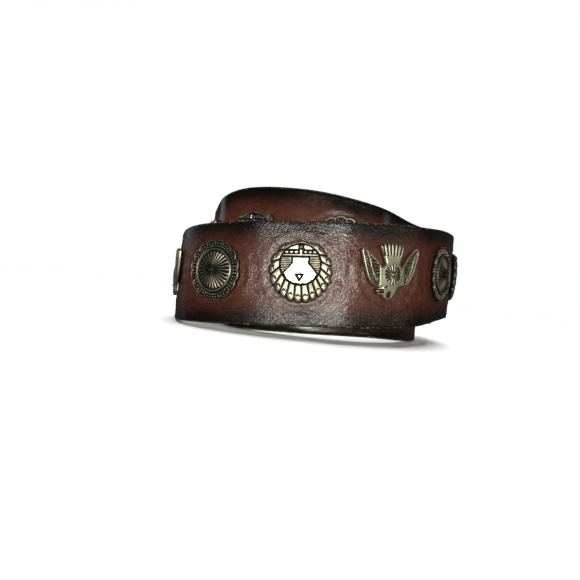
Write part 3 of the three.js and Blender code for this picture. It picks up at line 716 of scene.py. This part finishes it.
# Raised line down the middle of the right wing, from its tip
BIRD_SHAFT = [(10.9, 8.3), (9.3, 5.2), (8.6, 2.4), (7.6, -0.4), (6.2, -2.4)]
BREAST = (0.1, -0.15)
# Pits and beads of the head and the claws: x, y, radius, rise
BIRD_SPOTS = [(-1.2, -7.6, 0.85, -0.5), (-1.25, -7.55, 0.3, 0.65), (-0.25, -7.95, 0.35, 0.5),
              (0.1, -7.6, 0.25, 0.3), (-3.3, -5.1, 0.4, 0.55), (-2.4, -4.6, 0.3, -0.3),
              (-5.9, -6.2, 0.4, 0.45)]
CLAW_CUTS = [[(-6.4, -5.7), (-3.4, -5.6)], [(-5.9, -6.7), (-3.3, -6.4)]]


def bird_tail(x, y, height, worn):
    """Seven ribs that fan out from a point below the tail, and a bright stretch before them."""
    fan = np.arctan2(x + 0.2, y + 6.5)
    rib = 0.5 + 0.5 * np.cos(2 * math.pi * fan / 0.094)
    tail = smooth(y, 6.3, 6.7) * (np.abs(x) < 6.2)
    slot = tail * (1 - smooth(rib, 0.2, 0.6))
    worn = worn * (1 - tail) + 0.92 * tail - 0.92 * slot
    worn += 0.16 * smooth(y, 3.0, 6.0) * (1 - tail) * (np.abs(x) < 4)
    return height + (0.3 * tail - 0.65 * slot), worn


def bird_breast(x, y, height, worn):
    """Stamped flower: sixteen slots round a ring with a bead in it."""
    far = np.hypot(x - BREAST[0], y - BREAST[1])
    turn = 16 * np.arctan2(y - BREAST[1], x - BREAST[0])
    petal = smooth(far, 1.15, 1.4) * (1 - smooth(far, 3.2, 3.5)) * smooth(np.cos(turn), -0.4, 0.15)
    ring = np.exp(-((far - 0.78) / 0.2) ** 2)
    lip = smooth(far, 1.2, 1.4) * (1 - smooth(far, 3.2, 3.5))
    return height - (0.42 * petal + 0.35 * ring), worn + (0.12 * lip - 1.0 * petal - 0.9 * ring)


def bird_wings(x, y, edge, height, worn):
    """A raised border and middle line, and rows of short strokes and beads between them."""
    mirrored = np.column_stack([np.abs(x), y])
    shaft = distance_to_line(mirrored, BIRD_SHAFT, closed=False)
    field = smooth(edge, 0.55, 0.75) * smooth(np.abs(x), 4.9, 5.6) * smooth(y, -4.4, -3.6)
    stroke = smooth(np.cos(2 * math.pi * (y + 0.55 * np.abs(x)) / 0.92), -0.1, 0.5)
    row = smooth(shaft, 0.3, 0.45) * (1 - smooth(shaft, 1.25, 1.5))
    beads = smooth(np.cos(2 * math.pi * (y - 0.4 * np.abs(x)) / 1.05), 0.2, 0.7) * smooth(shaft, 1.4, 1.6)
    raised = np.clip(np.exp(-(shaft / 0.24) ** 2) + stroke * row * 0.75 + beads * 0.8, 0, 1)
    worn = worn * (1 - field) + field * (0.3 + 0.66 * raised)
    return height + field * (0.42 * raised - 0.42), worn


def bird_relief(flat, edge):
    x, y = flat.T
    # Body, crowned between the tail and the neck
    height = 0.6 + 0.85 * rounded(edge, 0.7) + 0.75 * np.exp(-((x / 3.7) ** 2 + ((y + 0.6) / 5.0) ** 2))
    worn = 0.86 + 0.14 * (1 - smooth(edge, 0.15, 0.6))
    height, worn = bird_tail(x, y, height, worn)
    height, worn = bird_breast(x, y, height, worn)
    height, worn = bird_wings(x, y, edge, height, worn)
    for at_x, at_y, radius, rise in BIRD_SPOTS:
        spot = np.exp(-((x - at_x) ** 2 + (y - at_y) ** 2) / radius ** 2)
        height += rise * spot
        worn += (-1.1 if rise < 0 else 0.9) * spot
    for ends in CLAW_CUTS:
        line = groove(distance_to_line(flat, ends, closed=False), 0.24)
        height -= 0.4 * line
        worn -= 0.9 * line
    return height, worn, np.full(len(flat), 0.25)


def bird_concho():
    """Spread bird seen from below, its tail up and its head turned to the left."""
    return cast_relief(smooth_closed(BIRD_OUTLINE, 6)[::-1], bird_relief, 0.19)


# Geometry nodes

def tree_of(name, **inputs):
    """Geometry tree, its inputs' sockets and what adds a node to it."""
    tree = bpy.data.node_groups.new(name, "GeometryNodeTree")
    tree.interface.new_socket("Geometry", in_out="INPUT", socket_type="NodeSocketGeometry")
    for label, kind in inputs.items():
        tree.interface.new_socket(label.replace("_", " "), in_out="INPUT", socket_type=f"NodeSocket{kind}")
    tree.interface.new_socket("Geometry", in_out="OUTPUT", socket_type="NodeSocketGeometry")
    add = partial(add_node, tree)
    return tree, add("NodeGroupInput").outputs, add


def bead_rows_tree():
    """Two rows of small beads on rings, joined to a cast stud."""
    tree, given, add = tree_of("bead_rows", Inner_radius="Float", Inner_count="Int", Outer_radius="Float",
                               Outer_count="Int", Bead_radius="Float", Height="Float")
    bead = add("GeometryNodeMeshUVSphere", {"Segments": 8, "Rings": 4, "Radius": given["Bead radius"]})
    lift = add("ShaderNodeCombineXYZ", {"Z": given["Height"]})
    join = add("GeometryNodeJoinGeometry", {0: given["Geometry"]})
    for row in ("Inner", "Outer"):
        circle = add("GeometryNodeMeshCircle", {"Vertices": given[f"{row} count"],
                                                "Radius": given[f"{row} radius"]})
        raised = add("GeometryNodeSetPosition", {"Geometry": circle, "Offset": lift})
        beads = add("GeometryNodeInstanceOnPoints", {"Points": raised, "Instance": bead})
        real = add("GeometryNodeRealizeInstances", {0: beads})
        marked = add("GeometryNodeStoreNamedAttribute", {"Geometry": real, "Name": "worn", "Value": 0.85},
                     data_type="FLOAT", domain="POINT")
        shaded = add("GeometryNodeSetShadeSmooth", {0: marked})
        tree.links.new(shaded.outputs[0], join.inputs[0])
    painted = add("GeometryNodeSetMaterial", {"Geometry": join, "Material": SILVER})
    add("NodeGroupOutput", {0: painted})
    return tree


def along_strap_tree():
    """One cast stud at each point of a row, turned as the strap is there."""
    tree, given, add = tree_of("studs_along_strap", Cast="Object", Finish="Material")
    cast = add("GeometryNodeObjectInfo", {"Object": given["Cast"]}).outputs["Geometry"]
    turn = add("GeometryNodeInputNamedAttribute", {"Name": "turn"}, data_type="FLOAT_VECTOR")
    rotation = add("FunctionNodeEulerToRotation", {0: turn.outputs["Attribute"]})
    studs = add("GeometryNodeInstanceOnPoints", {"Points": given["Geometry"], "Instance": cast,
                                                 "Rotation": rotation})
    real = add("GeometryNodeRealizeInstances", {0: studs})
    painted = add("GeometryNodeSetMaterial", {"Geometry": real, "Material": given["Finish"]})
    add("NodeGroupOutput", {0: painted})
    return tree


def grown(piece, tree, **values):
    """Plain mesh that a tree makes from an object, with the tree's named inputs set first."""
    modifier = piece.modifiers.new("grow", "NODES")
    modifier.node_group = tree
    sockets = {s.name: s.identifier for s in tree.interface.items_tree if s.in_out == "INPUT"}
    for key, value in values.items():
        modifier[sockets[key.replace("_", " ")]] = value
    evaluated = piece.evaluated_get(bpy.context.evaluated_depsgraph_get())
    mesh = bpy.data.meshes.new_from_object(evaluated)
    piece.modifiers.remove(modifier)
    return mesh


BEAD_ROWS = {"Inner_radius": 9.08 * MM, "Inner_count": 48, "Outer_radius": 10.05 * MM, "Outer_count": 48,
             "Bead_radius": 0.29 * MM, "Height": 0.85 * MM}


def make_studs():
    along_strap = along_strap_tree()
    for kind, make_cast in (("round", round_concho), ("sun", sun_concho), ("bird", bird_concho)):
        cast = new_object(f"{kind}_cast", make_cast().mesh(f"{kind}_cast"))
        if kind == "round":
            cast.data = grown(cast, bead_rows_tree(), **BEAD_ROWS)
        names, matrices = [], []
        for i in range(STUD_COUNT):
            its_kind, at, up = stud_at(FIRST_STUD + i)
            if its_kind == kind:
                names.append(f"concho_{i + 1:02d}_{kind}")
                matrices.append(matrix_at(at, up, STRAP_THICKNESS / 2 + GAP))
        turns = [tuple(Matrix(m[:3, :3].tolist()).to_euler()) for m in matrices]
        row = new_object(f"{kind}_row", new_mesh(f"{kind}_row", [m[:3, 3] for m in matrices], [], turn=turns))
        mesh = grown(row, along_strap, Cast=cast, Finish=SILVER)
        mesh.name = f"{kind}_conchos"
        for spare in (row, cast):
            bpy.data.objects.remove(spare)
        finish_piece(f"{kind}_conchos", mesh, "antiqued_metal", *names)


# The strap

def width_at(at):
    past = np.clip((at - STRAP_LENGTH + TIP_LENGTH) / TIP_LENGTH, 0, 1)
    return TIP_END_WIDTH + (STRAP_WIDTH - TIP_END_WIDTH) * np.sqrt(1 - past ** 2)


FOLD_STEP = 1.1
LOOP_STEPS = 16
TIP_STEPS = 16
PLAIN_STEP, FRONT_STEP, HOLE_STEP = 1.35, 0.85, 0.65
FRONT_STRETCH = (140, 345)  # stretch of the strap that the photograph shows best
HOLE_REACH = 4


def stations():
    """Distances along the strap, closer together at the front of the roll and round the punched holes."""
    at = [0.0]
    while at[-1] < STRAP_LENGTH - TIP_LENGTH - 1:
        near_hole = min(abs(at[-1] - hole) for hole in PRONG_HOLES_AT) < HOLE_REACH
        in_front = FRONT_STRETCH[0] < at[-1] < FRONT_STRETCH[1]
        at.append(at[-1] + (HOLE_STEP if near_hole else FRONT_STEP if in_front else PLAIN_STEP))
    tip = math.pi / 2 * np.arange(TIP_STEPS + 1) / TIP_STEPS
    return np.concatenate([at, STRAP_LENGTH - TIP_LENGTH * np.cos(tip)])


def strap_rows():
    """Sections from the turned-back end's edge, round the bar and on to the tip, as named arrays."""
    rows = []
    lying = STRAP_THICKNESS / 2 + GAP + FOLD_THICKNESS / 2
    low = STRAP_THICKNESS / 2 + 2 * LOOP_INSIDE + FOLD_THICKNESS / 2
    for at in np.arange(FOLD_FROM, 0.2, -FOLD_STEP):
        centre, _, up, out = strap_frames(at)
        depth = lying + (low - lying) * (1 - smooth(at, 0, FOLD_FLAT_FROM))
        rows.append((centre - out * depth, up, -out, FOLD_THICKNESS, -LOOP_LENGTH - at, STRAP_WIDTH / 2))
    bar_centre, bar_along, bar_up, bar_out = strap_frames(0.0)
    loop_centre = bar_centre - bar_out * (STRAP_THICKNESS / 2 + LOOP_INSIDE)
    for step in np.arange(LOOP_STEPS) / LOOP_STEPS:
        turn = math.pi * step
        thick = FOLD_THICKNESS + (STRAP_THICKNESS - FOLD_THICKNESS) * step
        out = -bar_out * math.cos(turn) - bar_along * math.sin(turn)
        centre = loop_centre + out * (LOOP_INSIDE + thick / 2)
        rows.append((centre, bar_up, out, thick, -LOOP_LENGTH * (1 - step), STRAP_WIDTH / 2))
    for at in stations():
        centre, _, up, out = strap_frames(at)
        rows.append((centre, up, out, STRAP_THICKNESS, at, width_at(at) / 2))
    return dict(zip(("centre", "up", "out", "thick", "along", "half"), map(np.array, zip(*rows))))


STUD_SIZES = {"round": 11.5, "sun": 11.1, "bird": 10.6}  # radius that presses on the leather
INNER_RELIEF = 0.35  # share of the relief that the inner turns have


def leather_relief(at, across):
    """How far the grain side stands out or sinks, in mm, around the studs and along the strap."""
    relief = 0.10 * np.sin(at / 4.3 + 0.3 * across) * np.sin(across / 5.1 + at / 9.0)
    for index in range(FIRST_STUD, FIRST_STUD + STUD_COUNT):
        kind, centre, stud_up = stud_at(index)
        near = np.abs(at - centre) < 20
        x, y = at[near] - centre, across[near] - stud_up
        far, angle = np.hypot(x, y), np.arctan2(y, x)

        def ring(radius, width, round_what=far):
            return np.exp(-((round_what - radius) / width) ** 2)

        # The leather is pressed in under the stud, most at its edge, and puckers up round it
        size = STUD_SIZES[kind]
        shape = -0.12 * (1 - smooth(far, size - 2, size)) - 0.26 * ring(size + 0.7, 0.75)
        shape += 0.2 * ring(size + 2.6, 1.3) + 0.05 * np.cos(17 * angle + index) * ring(size + 2.4, 1.8)
        # The sun and the bird have each printed an arc beside them
        if kind == "sun":
            arc = np.exp(-((angle - 0.75) / 0.42) ** 2)
            shape += arc * (0.3 * ring(13.0, 0.35) - 0.25 * ring(13.9, 0.4))
        if kind == "bird":
            arc = np.exp(-((np.abs(angle) - math.pi) / 0.55) ** 2)
            oval = np.hypot((x + 1.8) / 1.12, y - 0.6)
            shape += arc * (0.2 * ring(13.1, 0.5, oval) - 0.3 * ring(12.2, 0.4, oval))
        relief[near] += shape * (1.0 if index < FIRST_INNER_STUD else INNER_RELIEF)
    return relief


def flow_round_studs(at, across):
    """Distance from the nearest stud, way round it and place along the strap, which the wrinkles follow.

    Past the end studs the rings open out into straight lines across the strap.
    """
    index = np.clip(np.round((at - FRONT_STUD_AT) / STUD_SPACING), FIRST_STUD, FIRST_STUD + STUD_COUNT - 1)
    x, y = at - FRONT_STUD_AT - index * STUD_SPACING, across - STUD_UP
    straight = smooth(np.abs(x), 14.0, 26.0)
    around = 9 * np.arctan2(y, np.abs(x)) * (1 - straight) + y * straight
    return np.column_stack([np.hypot(x, y * (1 - straight)), around, 0.09 * at])


# Section of the strap: its grain side from left to right, the right edge, its flesh side and the left edge
ACROSS_POINTS = 41
EDGE_POINTS = [(18.75, 1.27), (18.97, 0.95), (19.0, 0.3), (19.0, -0.4), (18.95, -1.0), (18.7, -1.28)]
GRAIN_LINE = np.linspace(-18.35, 18.35, ACROSS_POINTS)
SECTION = np.array([(v, 1.4) for v in GRAIN_LINE] + EDGE_POINTS + [(v, -1.4) for v in GRAIN_LINE[::-1]]
                   + [(-v, w) for v, w in EDGE_POINTS[::-1]])
FIRST_BACK = ACROSS_POINTS + len(EDGE_POINTS)
LAST_BACK = FIRST_BACK + ACROSS_POINTS - 1
SECTION_INDEX = np.arange(len(SECTION))
FRONTS = SECTION_INDEX < ACROSS_POINTS
FLATS = FRONTS | ((SECTION_INDEX >= FIRST_BACK) & (SECTION_INDEX <= LAST_BACK))
GRAIN_SLOT, FLESH_SLOT, EDGE_SLOT = 0, 1, 2
SECTION_SLOTS = np.full(len(SECTION), EDGE_SLOT)
SECTION_SLOTS[:ACROSS_POINTS - 1] = GRAIN_SLOT
SECTION_SLOTS[FIRST_BACK:LAST_BACK + 1] = FLESH_SLOT
RELIEF_FROM = 60  # along the strap, where its relief and its uneven edges begin
UNEVEN_TO = 870  # where the edges are straight again


def punch_holes(along, across):
    """Points inside a prong hole moved out onto its edge, and the cells that the holes and slot remove."""
    def cells(points):
        """Cells whose four corners are all among the points."""
        after = np.roll(points, -1, 1)
        return points[:-1] & points[1:] & after[:-1] & after[1:]

    moved_along, moved_across = along.copy(), across.copy()
    slot = (along < PRONG_SLOT_REACH) & (along > -LOOP_LENGTH - PRONG_SLOT_REACH)
    removed = cells(slot & FLATS & (np.abs(SECTION[:, 0]) < PRONG_SLOT_WIDTH / 2))
    for hole in PRONG_HOLES_AT:
        far = np.hypot(along - hole, across)
        inner = (far < PRONG_HOLE_RADIUS) & FLATS
        removed |= cells(inner)
        scale = PRONG_HOLE_RADIUS / np.maximum(far, 0.2)
        moved_along = np.where(inner, hole + (along - hole) * scale, moved_along)
        moved_across = np.where(inner, across * scale, moved_across)
    return moved_along, moved_across, removed


# Sides of a cell: its first and last corner and the cell beyond, as steps along and across
CELL_SIDES = [((0, 0), (1, 0), (0, -1)), ((1, 1), (0, 1), (0, 1)), ((0, 1), (0, 0), (-1, 0)),
              ((1, 0), (1, 1), (1, 0))]


def hole_walls(index, removed):
    """Quads between the edges of the removed cells on the grain side and those on the flesh side."""
    behind = index[:, LAST_BACK::-1]
    walls = []
    for cell in np.argwhere(removed[:, :ACROSS_POINTS - 1]):
        for first, last, beyond in CELL_SIDES:
            beside = tuple(cell + beyond)
            if beside[0] < 0 or not removed[beside]:
                a, b = tuple(cell + first), tuple(cell + last)
                walls.append((index[a], index[b], behind[b], behind[a]))
    return walls


def uneven(along, across):
    """How far the edges wander, in mm, as those cut by a knife do."""
    side = np.sign(across)
    wander = 0.13 * np.sin(along / 11.0 + side) + 0.07 * np.sin(along / 4.1 + 2 * side)
    return wander * ((np.abs(across) > 17) & (along > RELIEF_FROM) & (along < UNEVEN_TO))


def strap_faces(total, removed):
    """Faces between the strap's sections, the walls of its holes and its two ends, and their slots."""
    index = np.arange(total * len(SECTION)).reshape(total, -1)
    after = np.roll(index, -1, 1)
    quads = np.stack([index[:-1], index[1:], after[1:], after[:-1]], -1)[~removed]
    walls = hole_walls(index, removed)
    slots = np.tile(SECTION_SLOTS, (total - 1, 1))[~removed]
    return ([*quads, *walls, index[0], index[-1][::-1]],
            np.concatenate([slots, np.full(len(walls) + 2, EDGE_SLOT)]))


def make_strap():
    rows = strap_rows()
    across = SECTION[:, 0] * (rows["half"] / (STRAP_WIDTH / 2))[:, None]
    out = SECTION[:, 1] * (rows["thick"] / STRAP_THICKNESS)[:, None]
    along = np.repeat(rows["along"][:, None], len(SECTION), 1)
    moved_along, moved_across, removed = punch_holes(along, across)

    # The relief fades out towards the edges
    dip = FRONTS * np.clip((18.6 - np.abs(across)) / 1.2, 0, 1) * (along > RELIEF_FROM)
    out = out + leather_relief(np.ravel(along), np.ravel(across)).reshape(along.shape) * dip
    moved_across = moved_across + uneven(along, across)
    tangent = np.gradient(rows["centre"], axis=0) / np.gradient(rows["along"])[:, None]
    points = (rows["centre"][:, None] + rows["up"][:, None] * moved_across[..., None]
              + rows["out"][:, None] * out[..., None] + tangent[:, None] * (moved_along - along)[..., None])

    faces, slots = strap_faces(len(along), removed)
    # Points inside the holes belong to no face and are left out
    used = np.zeros(along.size, bool)
    used[np.concatenate(faces)] = True
    renumbered = np.cumsum(used) - 1
    mesh = new_mesh("strap_leather", points.reshape(-1, 3)[used], [renumbered[np.asarray(f)] for f in faces],
                    flow=flow_round_studs(np.ravel(along), np.ravel(across))[used])
    for material in (GRAIN, FLESH, EDGE):
        mesh.materials.append(material)
    mesh.polygons.foreach_set("material_index", slots.astype(np.int32))
    store_uv(mesh, np.column_stack([np.ravel(along), np.ravel(across)])[used] * MM)
    finish_piece("strap_leather", mesh, "leather", "strap")


# Buckle, keeper and rivets

def swept(path, side, profile, closed=True):
    """Surface of a profile of (across, along side), carried along a path that keeps its side direction."""
    path = np.asarray(path, float)
    side = np.asarray(side, float)
    ahead = np.roll(path, -1, 0) - np.roll(path, 1, 0) if closed else np.gradient(path, axis=0)
    normal = np.cross(unit(ahead), side)
    rows, count = len(path), np.shape(profile)[-2]
    profile = np.broadcast_to(profile, (rows, count, 2))
    points = path[:, None] + normal[:, None] * profile[..., :1] + side * profile[..., 1:]
    faces = []
    for row in range(rows if closed else rows - 1):
        a, b = row * count, ((row + 1) % rows) * count
        faces += [(a + k, a + (k + 1) % count, b + (k + 1) % count, b + k) for k in range(count)]
    if not closed:
        faces += [tuple(range(count))[::-1], tuple(range((rows - 1) * count, rows * count))]
    return points.reshape(-1, 3), faces


def rounded_box(width, height, radius, steps=3):
    """Closed outline of a box with rounded corners, anticlockwise."""
    line = []
    for cx, cy, start in ((1, 1, 0), (-1, 1, 90), (-1, -1, 180), (1, -1, 270)):
        for angle in np.radians(start + np.linspace(0, 90, steps + 1)):
            line.append((cx * (width / 2 - radius) + radius * math.cos(angle),
                         cy * (height / 2 - radius) + radius * math.sin(angle)))
    return np.array(line)


def subdivided(line, length):
    """Closed outline with its long sides cut into steps of at least a length."""
    fine = []
    for a, b in zip(line, np.roll(line, -1, 0)):
        steps = max(1, int(np.linalg.norm(b - a) / length))
        fine += [a + (b - a) * t / steps for t in range(steps)]
    return np.array(fine)


def finish_metal(name, shell, matrix, node):
    mesh = shell.mesh(name, matrix)
    mesh.materials.append(SILVER)
    face_outward(mesh)
    finish_piece(name, mesh, "antiqued_metal", node)


BUCKLE_HEIGHT, BUCKLE_LENGTH, BUCKLE_RAIL, BUCKLE_THICKNESS, BUCKLE_CORNER = 50.0, 28.0, 4.6, 3.0, 9.0
BUCKLE_BAR_REACH = 24
# Middle line of the prong about the bar: along, out, half thickness
PRONG = np.array([(2.0, -0.6, 0.9), (2.0, 0.8, 0.95), (0.6, 1.85, 1.0), (-3.0, 1.7, 1.0), (-9.0, 2.0, 1.0),
                  (-15.0, 2.25, 0.95), (-21.0, 2.45, 0.85), (-26.0, 2.3, 0.8), (-29.2, 2.1, 0.6)])
# The prong's width along it: along, width
PRONG_WIDTHS = np.array([(-29.2, 3.0), (-26, 4.0), (2, 4.4)])


def buckle_frame():
    """Middle line of the frame's three sides, from the upper end of the bar round to the lower one."""
    half = (BUCKLE_HEIGHT - BUCKLE_RAIL) / 2
    reach = BUCKLE_LENGTH - BUCKLE_RAIL / 2
    bend = BUCKLE_CORNER - BUCKLE_RAIL / 2
    upper = [(x, half) for x in np.linspace(0, bend - reach, 12)[:-1]]
    upper += [(bend - reach - bend * math.sin(a), half - bend + bend * math.cos(a))
              for a in np.radians(np.linspace(0, 90, 13))]
    end = [(-reach, y) for y in np.linspace(half - bend, bend - half, 16)[1:-1]]
    return [(x, y, 0) for x, y in [*upper, *end, *[(x, -y) for x, y in upper[::-1]]]]


def prong():
    steps = np.linspace(0, len(PRONG) - 1, 41)
    line = np.column_stack([np.interp(steps, range(len(PRONG)), column) for column in PRONG.T])
    for _ in range(4):
        line[1:-1] = (line[:-2] + 2 * line[1:-1] + line[2:]) / 4
    widths = np.interp(line[:, 0], *PRONG_WIDTHS.T)
    profiles = [rounded_box(2 * half, width, min(half, 0.7) * 0.95)
                for half, width in zip(line[:, 2], widths)]
    path = np.column_stack([line[:, 0], np.zeros(len(line)), line[:, 1]])
    return swept(path, (0, 1, 0), profiles, closed=False)


def make_buckle():
    shell = Shell()
    rail = rounded_box(BUCKLE_RAIL, BUCKLE_THICKNESS, 1.15, 4)
    shell.add(*swept(buckle_frame(), (0, 0, 1), rail, closed=False), 0.62, 0.5)
    bar = [(0, y, 0) for y in np.linspace(-BUCKLE_BAR_REACH, BUCKLE_BAR_REACH, 9)]
    rod = rounded_box(2 * BAR_RADIUS, 2 * BAR_RADIUS, BAR_RADIUS * 0.98, 4)
    shell.add(*swept(bar, (0, 0, 1), rod, closed=False), 0.5, 0.5)
    shell.add(*prong(), 0.66, 0.5)
    finish_metal("buckle_cast", shell, matrix_at(0.0, 0.0, -STRAP_THICKNESS / 2 - LOOP_INSIDE), "buckle")


def make_keeper():
    behind = STRAP_THICKNESS / 2 + GAP + FOLD_THICKNESS + GAP
    front = STRAP_THICKNESS / 2 + KEEPER_ROOM
    height = STRAP_WIDTH + 2 * KEEPER_SLACK + KEEPER_WALL
    loop = subdivided(rounded_box(front + behind + KEEPER_WALL, height, 1.1, 5), 0.9)
    path = [(0, y, z + (front - behind) / 2) for z, y in loop]
    profile = subdivided(rounded_box(KEEPER_WALL, KEEPER_WIDTH, 0.5), 1.0)
    points, faces = swept(path, (1, 0, 0), profile)
    flow = np.column_stack([points[:, 0], points[:, 1] + points[:, 2], points[:, 2] / 9])
    matrix = matrix_at(KEEPER_AT)
    mesh = new_mesh("keeper_leather", points @ matrix[:3, :3].T + matrix[:3, 3], faces, flow=flow)
    face_outward(mesh)
    mesh.materials.append(GRAIN)
    # Along the loop and across its width, the width drawn out so that the edges are dyed as the strap's are
    run = np.concatenate([[0], np.cumsum(np.linalg.norm(np.diff(path, axis=0), axis=1))])
    uv = np.column_stack([np.repeat(run, len(profile)), 1.9 * np.tile(profile[:, 1], len(path))])
    store_uv(mesh, uv * MM)
    finish_piece("keeper_leather", mesh, "leather", "keeper")


def make_rivets():
    behind = -(STRAP_THICKNESS / 2 + GAP + FOLD_THICKNESS + GAP)
    front = STRAP_THICKNESS / 2 + GAP
    cap = [(0.6, front + HEAD_THICKNESS, 0.95), (1.8, front + 0.56, 0.95), (2.8, front + 0.42, 0.9),
           (3.25, front + 0.22, 0.7), (HEAD_RADIUS, front + 0.05, 0.3), (HEAD_RADIUS - 0.1, front, 0.1)]
    post = [(POST_RADIUS, front + 0.2, 0.3), (POST_RADIUS, behind - 0.2, 0.3)]
    burr = [(HEAD_RADIUS * 0.97, behind, 0.3), (HEAD_RADIUS, behind - 0.15, 0.6),
            (HEAD_RADIUS * 0.7, behind - 0.5, 0.8), (0.8, behind - HEAD_THICKNESS, 0.9)]
    for i, at in enumerate(RIVETS_AT):
        shell = Shell()
        for profile, sides in ((cap, 32), (post, 16), (burr, 32)):
            shell.add(*spun(profile, sides))
        finish_metal(f"fold_rivet_cap_{i + 1}", shell, matrix_at(at), f"fold_rivet_{i + 1}")


make_strap()
make_studs()
make_buckle()
make_keeper()
make_rivets()


# Floor, light and camera

FLOOR_RADIUS, FLOOR_SIDES = 3000, 64
WALL_FROM, WALL_TO = -2, 4000


def make_floor():
    """White paper: a wide floor, and a bright wall all round. Neither is mirrored or lights the belt."""
    turn = np.linspace(0, 2 * math.pi, FLOOR_SIDES, endpoint=False)
    rim, foot, head = (ring_of(turn, FLOOR_RADIUS, z) for z in (0, WALL_FROM, WALL_TO))
    floor_mesh = new_mesh("paper_floor", rim, [range(FLOOR_SIDES)], shade_smooth=False)
    wall_faces = [(j, i, FLOOR_SIDES + i, FLOOR_SIDES + j)
                  for i, j in enumerate(np.roll(range(FLOOR_SIDES), -1))]
    wall_mesh = new_mesh("paper_wall", np.vstack([foot, head]), wall_faces, shade_smooth=False)
    # Uncoated white background paper, matt, off a wide roll
    paper, *_ = new_material("white_background_paper", Base_Color=linear("F2F2F0"), Roughness=0.95)
    # The same paper, lit from behind
    lit, *_ = new_material("backlit_background_paper", Base_Color=linear("000000"),
                           Emission_Color=linear("FFFFFF"), Emission_Strength=1.0, Roughness=1.0)
    floor, wall = new_object("paper_floor", floor_mesh), new_object("paper_wall", wall_mesh)
    floor_mesh.materials.append(paper)
    wall_mesh.materials.append(lit)
    for paper_sheet in (floor, wall):
        paper_sheet.visible_diffuse = paper_sheet.visible_glossy = False
    wall.visible_shadow = False
    return floor


def new_light(name, kind, place, aim, energy, **settings):
    """Light at a place from the roll's centre, in metres, aimed at another."""
    data = bpy.data.lights.new(name, kind)
    data.energy = energy
    for key, value in settings.items():
        setattr(data, key, value)
    lamp = new_object(name, data)
    lamp.location = Vector(ROLL_CENTRE * MM) + Vector(place)
    lamp.rotation_euler = (Vector(aim) - Vector(place)).to_track_quat("-Z", "Y").to_euler()
    return lamp


def make_light(floor):
    world = bpy.data.worlds.new("dim_studio")
    bpy.context.scene.world = world
    world.use_nodes = True
    background = world.node_tree.nodes["Background"]
    background.inputs["Color"].default_value = linear("FFFFFF")
    background.inputs["Strength"].default_value = 0.04
    # The lamp by the camera, whose sheen lies round the sun, and two wider glows that fade it out sideways
    for name, across, energy, width, height in (("camera_lamp", -0.01, 0.5, 0.11, 0.04),
                                                ("camera_glow", -0.01, 0.2, 0.21, 0.045),
                                                ("camera_haze", -0.02, 0.13, 0.5, 0.045)):
        new_light(name, "AREA", (across, -0.33, 0.022), (-0.005, -0.06, 0.022), energy, shape="RECTANGLE",
                  size=width, size_y=height, color=(1.0, 0.94, 0.87))
    # A small reflector that the bird mirrors
    new_light("right_reflector", "AREA", (0.42, -0.33, 0.055), (0.04, -0.05, 0.022), 0.12, size=0.12,
              color=(1.0, 0.93, 0.8))
    new_light("top_softbox", "AREA", (0.1, 0.2, 0.8), (0, 0, 0.02), 1.5, size=0.5)
    new_light("back_softbox", "AREA", (0.1, 0.9, 0.3), (0, 0.06, 0.02), 5.0, size=0.5)
    new_light("left_softbox", "AREA", (-0.9, 0.5, 0.3), (-0.06, 0, 0.02), 0.4, size=0.5)
    # Light for the floor alone
    wash = new_light("floor_wash", "SUN", (0, -0.1, 1), (0, 0, 0), 3.7, angle=math.radians(70))
    only_floor = bpy.data.collections.new("floor_wash_lights")
    only_floor.objects.link(floor)
    wash.light_linking.receiver_collection = only_floor


# Camera of the photograph, about the roll's centre: place in mm, tilt in degrees, and lens
CAMERA_PLACE = (-14.75, -204.0, 16.8)
CAMERA_PITCH = 0.41
CAMERA_ROLL = 5.71
FOCAL_PIXELS = 397.6
IMAGE_PIXELS = 580
SENSOR_WIDTH = 36.0
NEAREST = 0.005


def make_camera():
    data = bpy.data.cameras.new("photo_camera")
    data.sensor_width = SENSOR_WIDTH
    data.sensor_fit = "HORIZONTAL"
    data.lens = FOCAL_PIXELS / IMAGE_PIXELS * SENSOR_WIDTH
    data.clip_start = NEAREST
    camera = new_object("photo_camera", data)
    pitch, roll = math.radians(CAMERA_PITCH), math.radians(CAMERA_ROLL)
    forward = Vector((0, math.cos(pitch), math.sin(pitch)))
    right = Vector((math.cos(roll), 0, math.sin(roll)))
    right = (right - forward * right.dot(forward)).normalized()
    above = right.cross(forward)
    matrix = Matrix((right, above, -forward)).transposed().to_4x4()
    matrix.translation = Vector((ROLL_CENTRE + CAMERA_PLACE) * MM)
    camera.matrix_world = matrix
    bpy.context.scene.camera = camera


make_light(make_floor())
make_camera()
bpy.context.scene.view_settings.view_transform = "Standard"

bpy.context.view_layer.update()
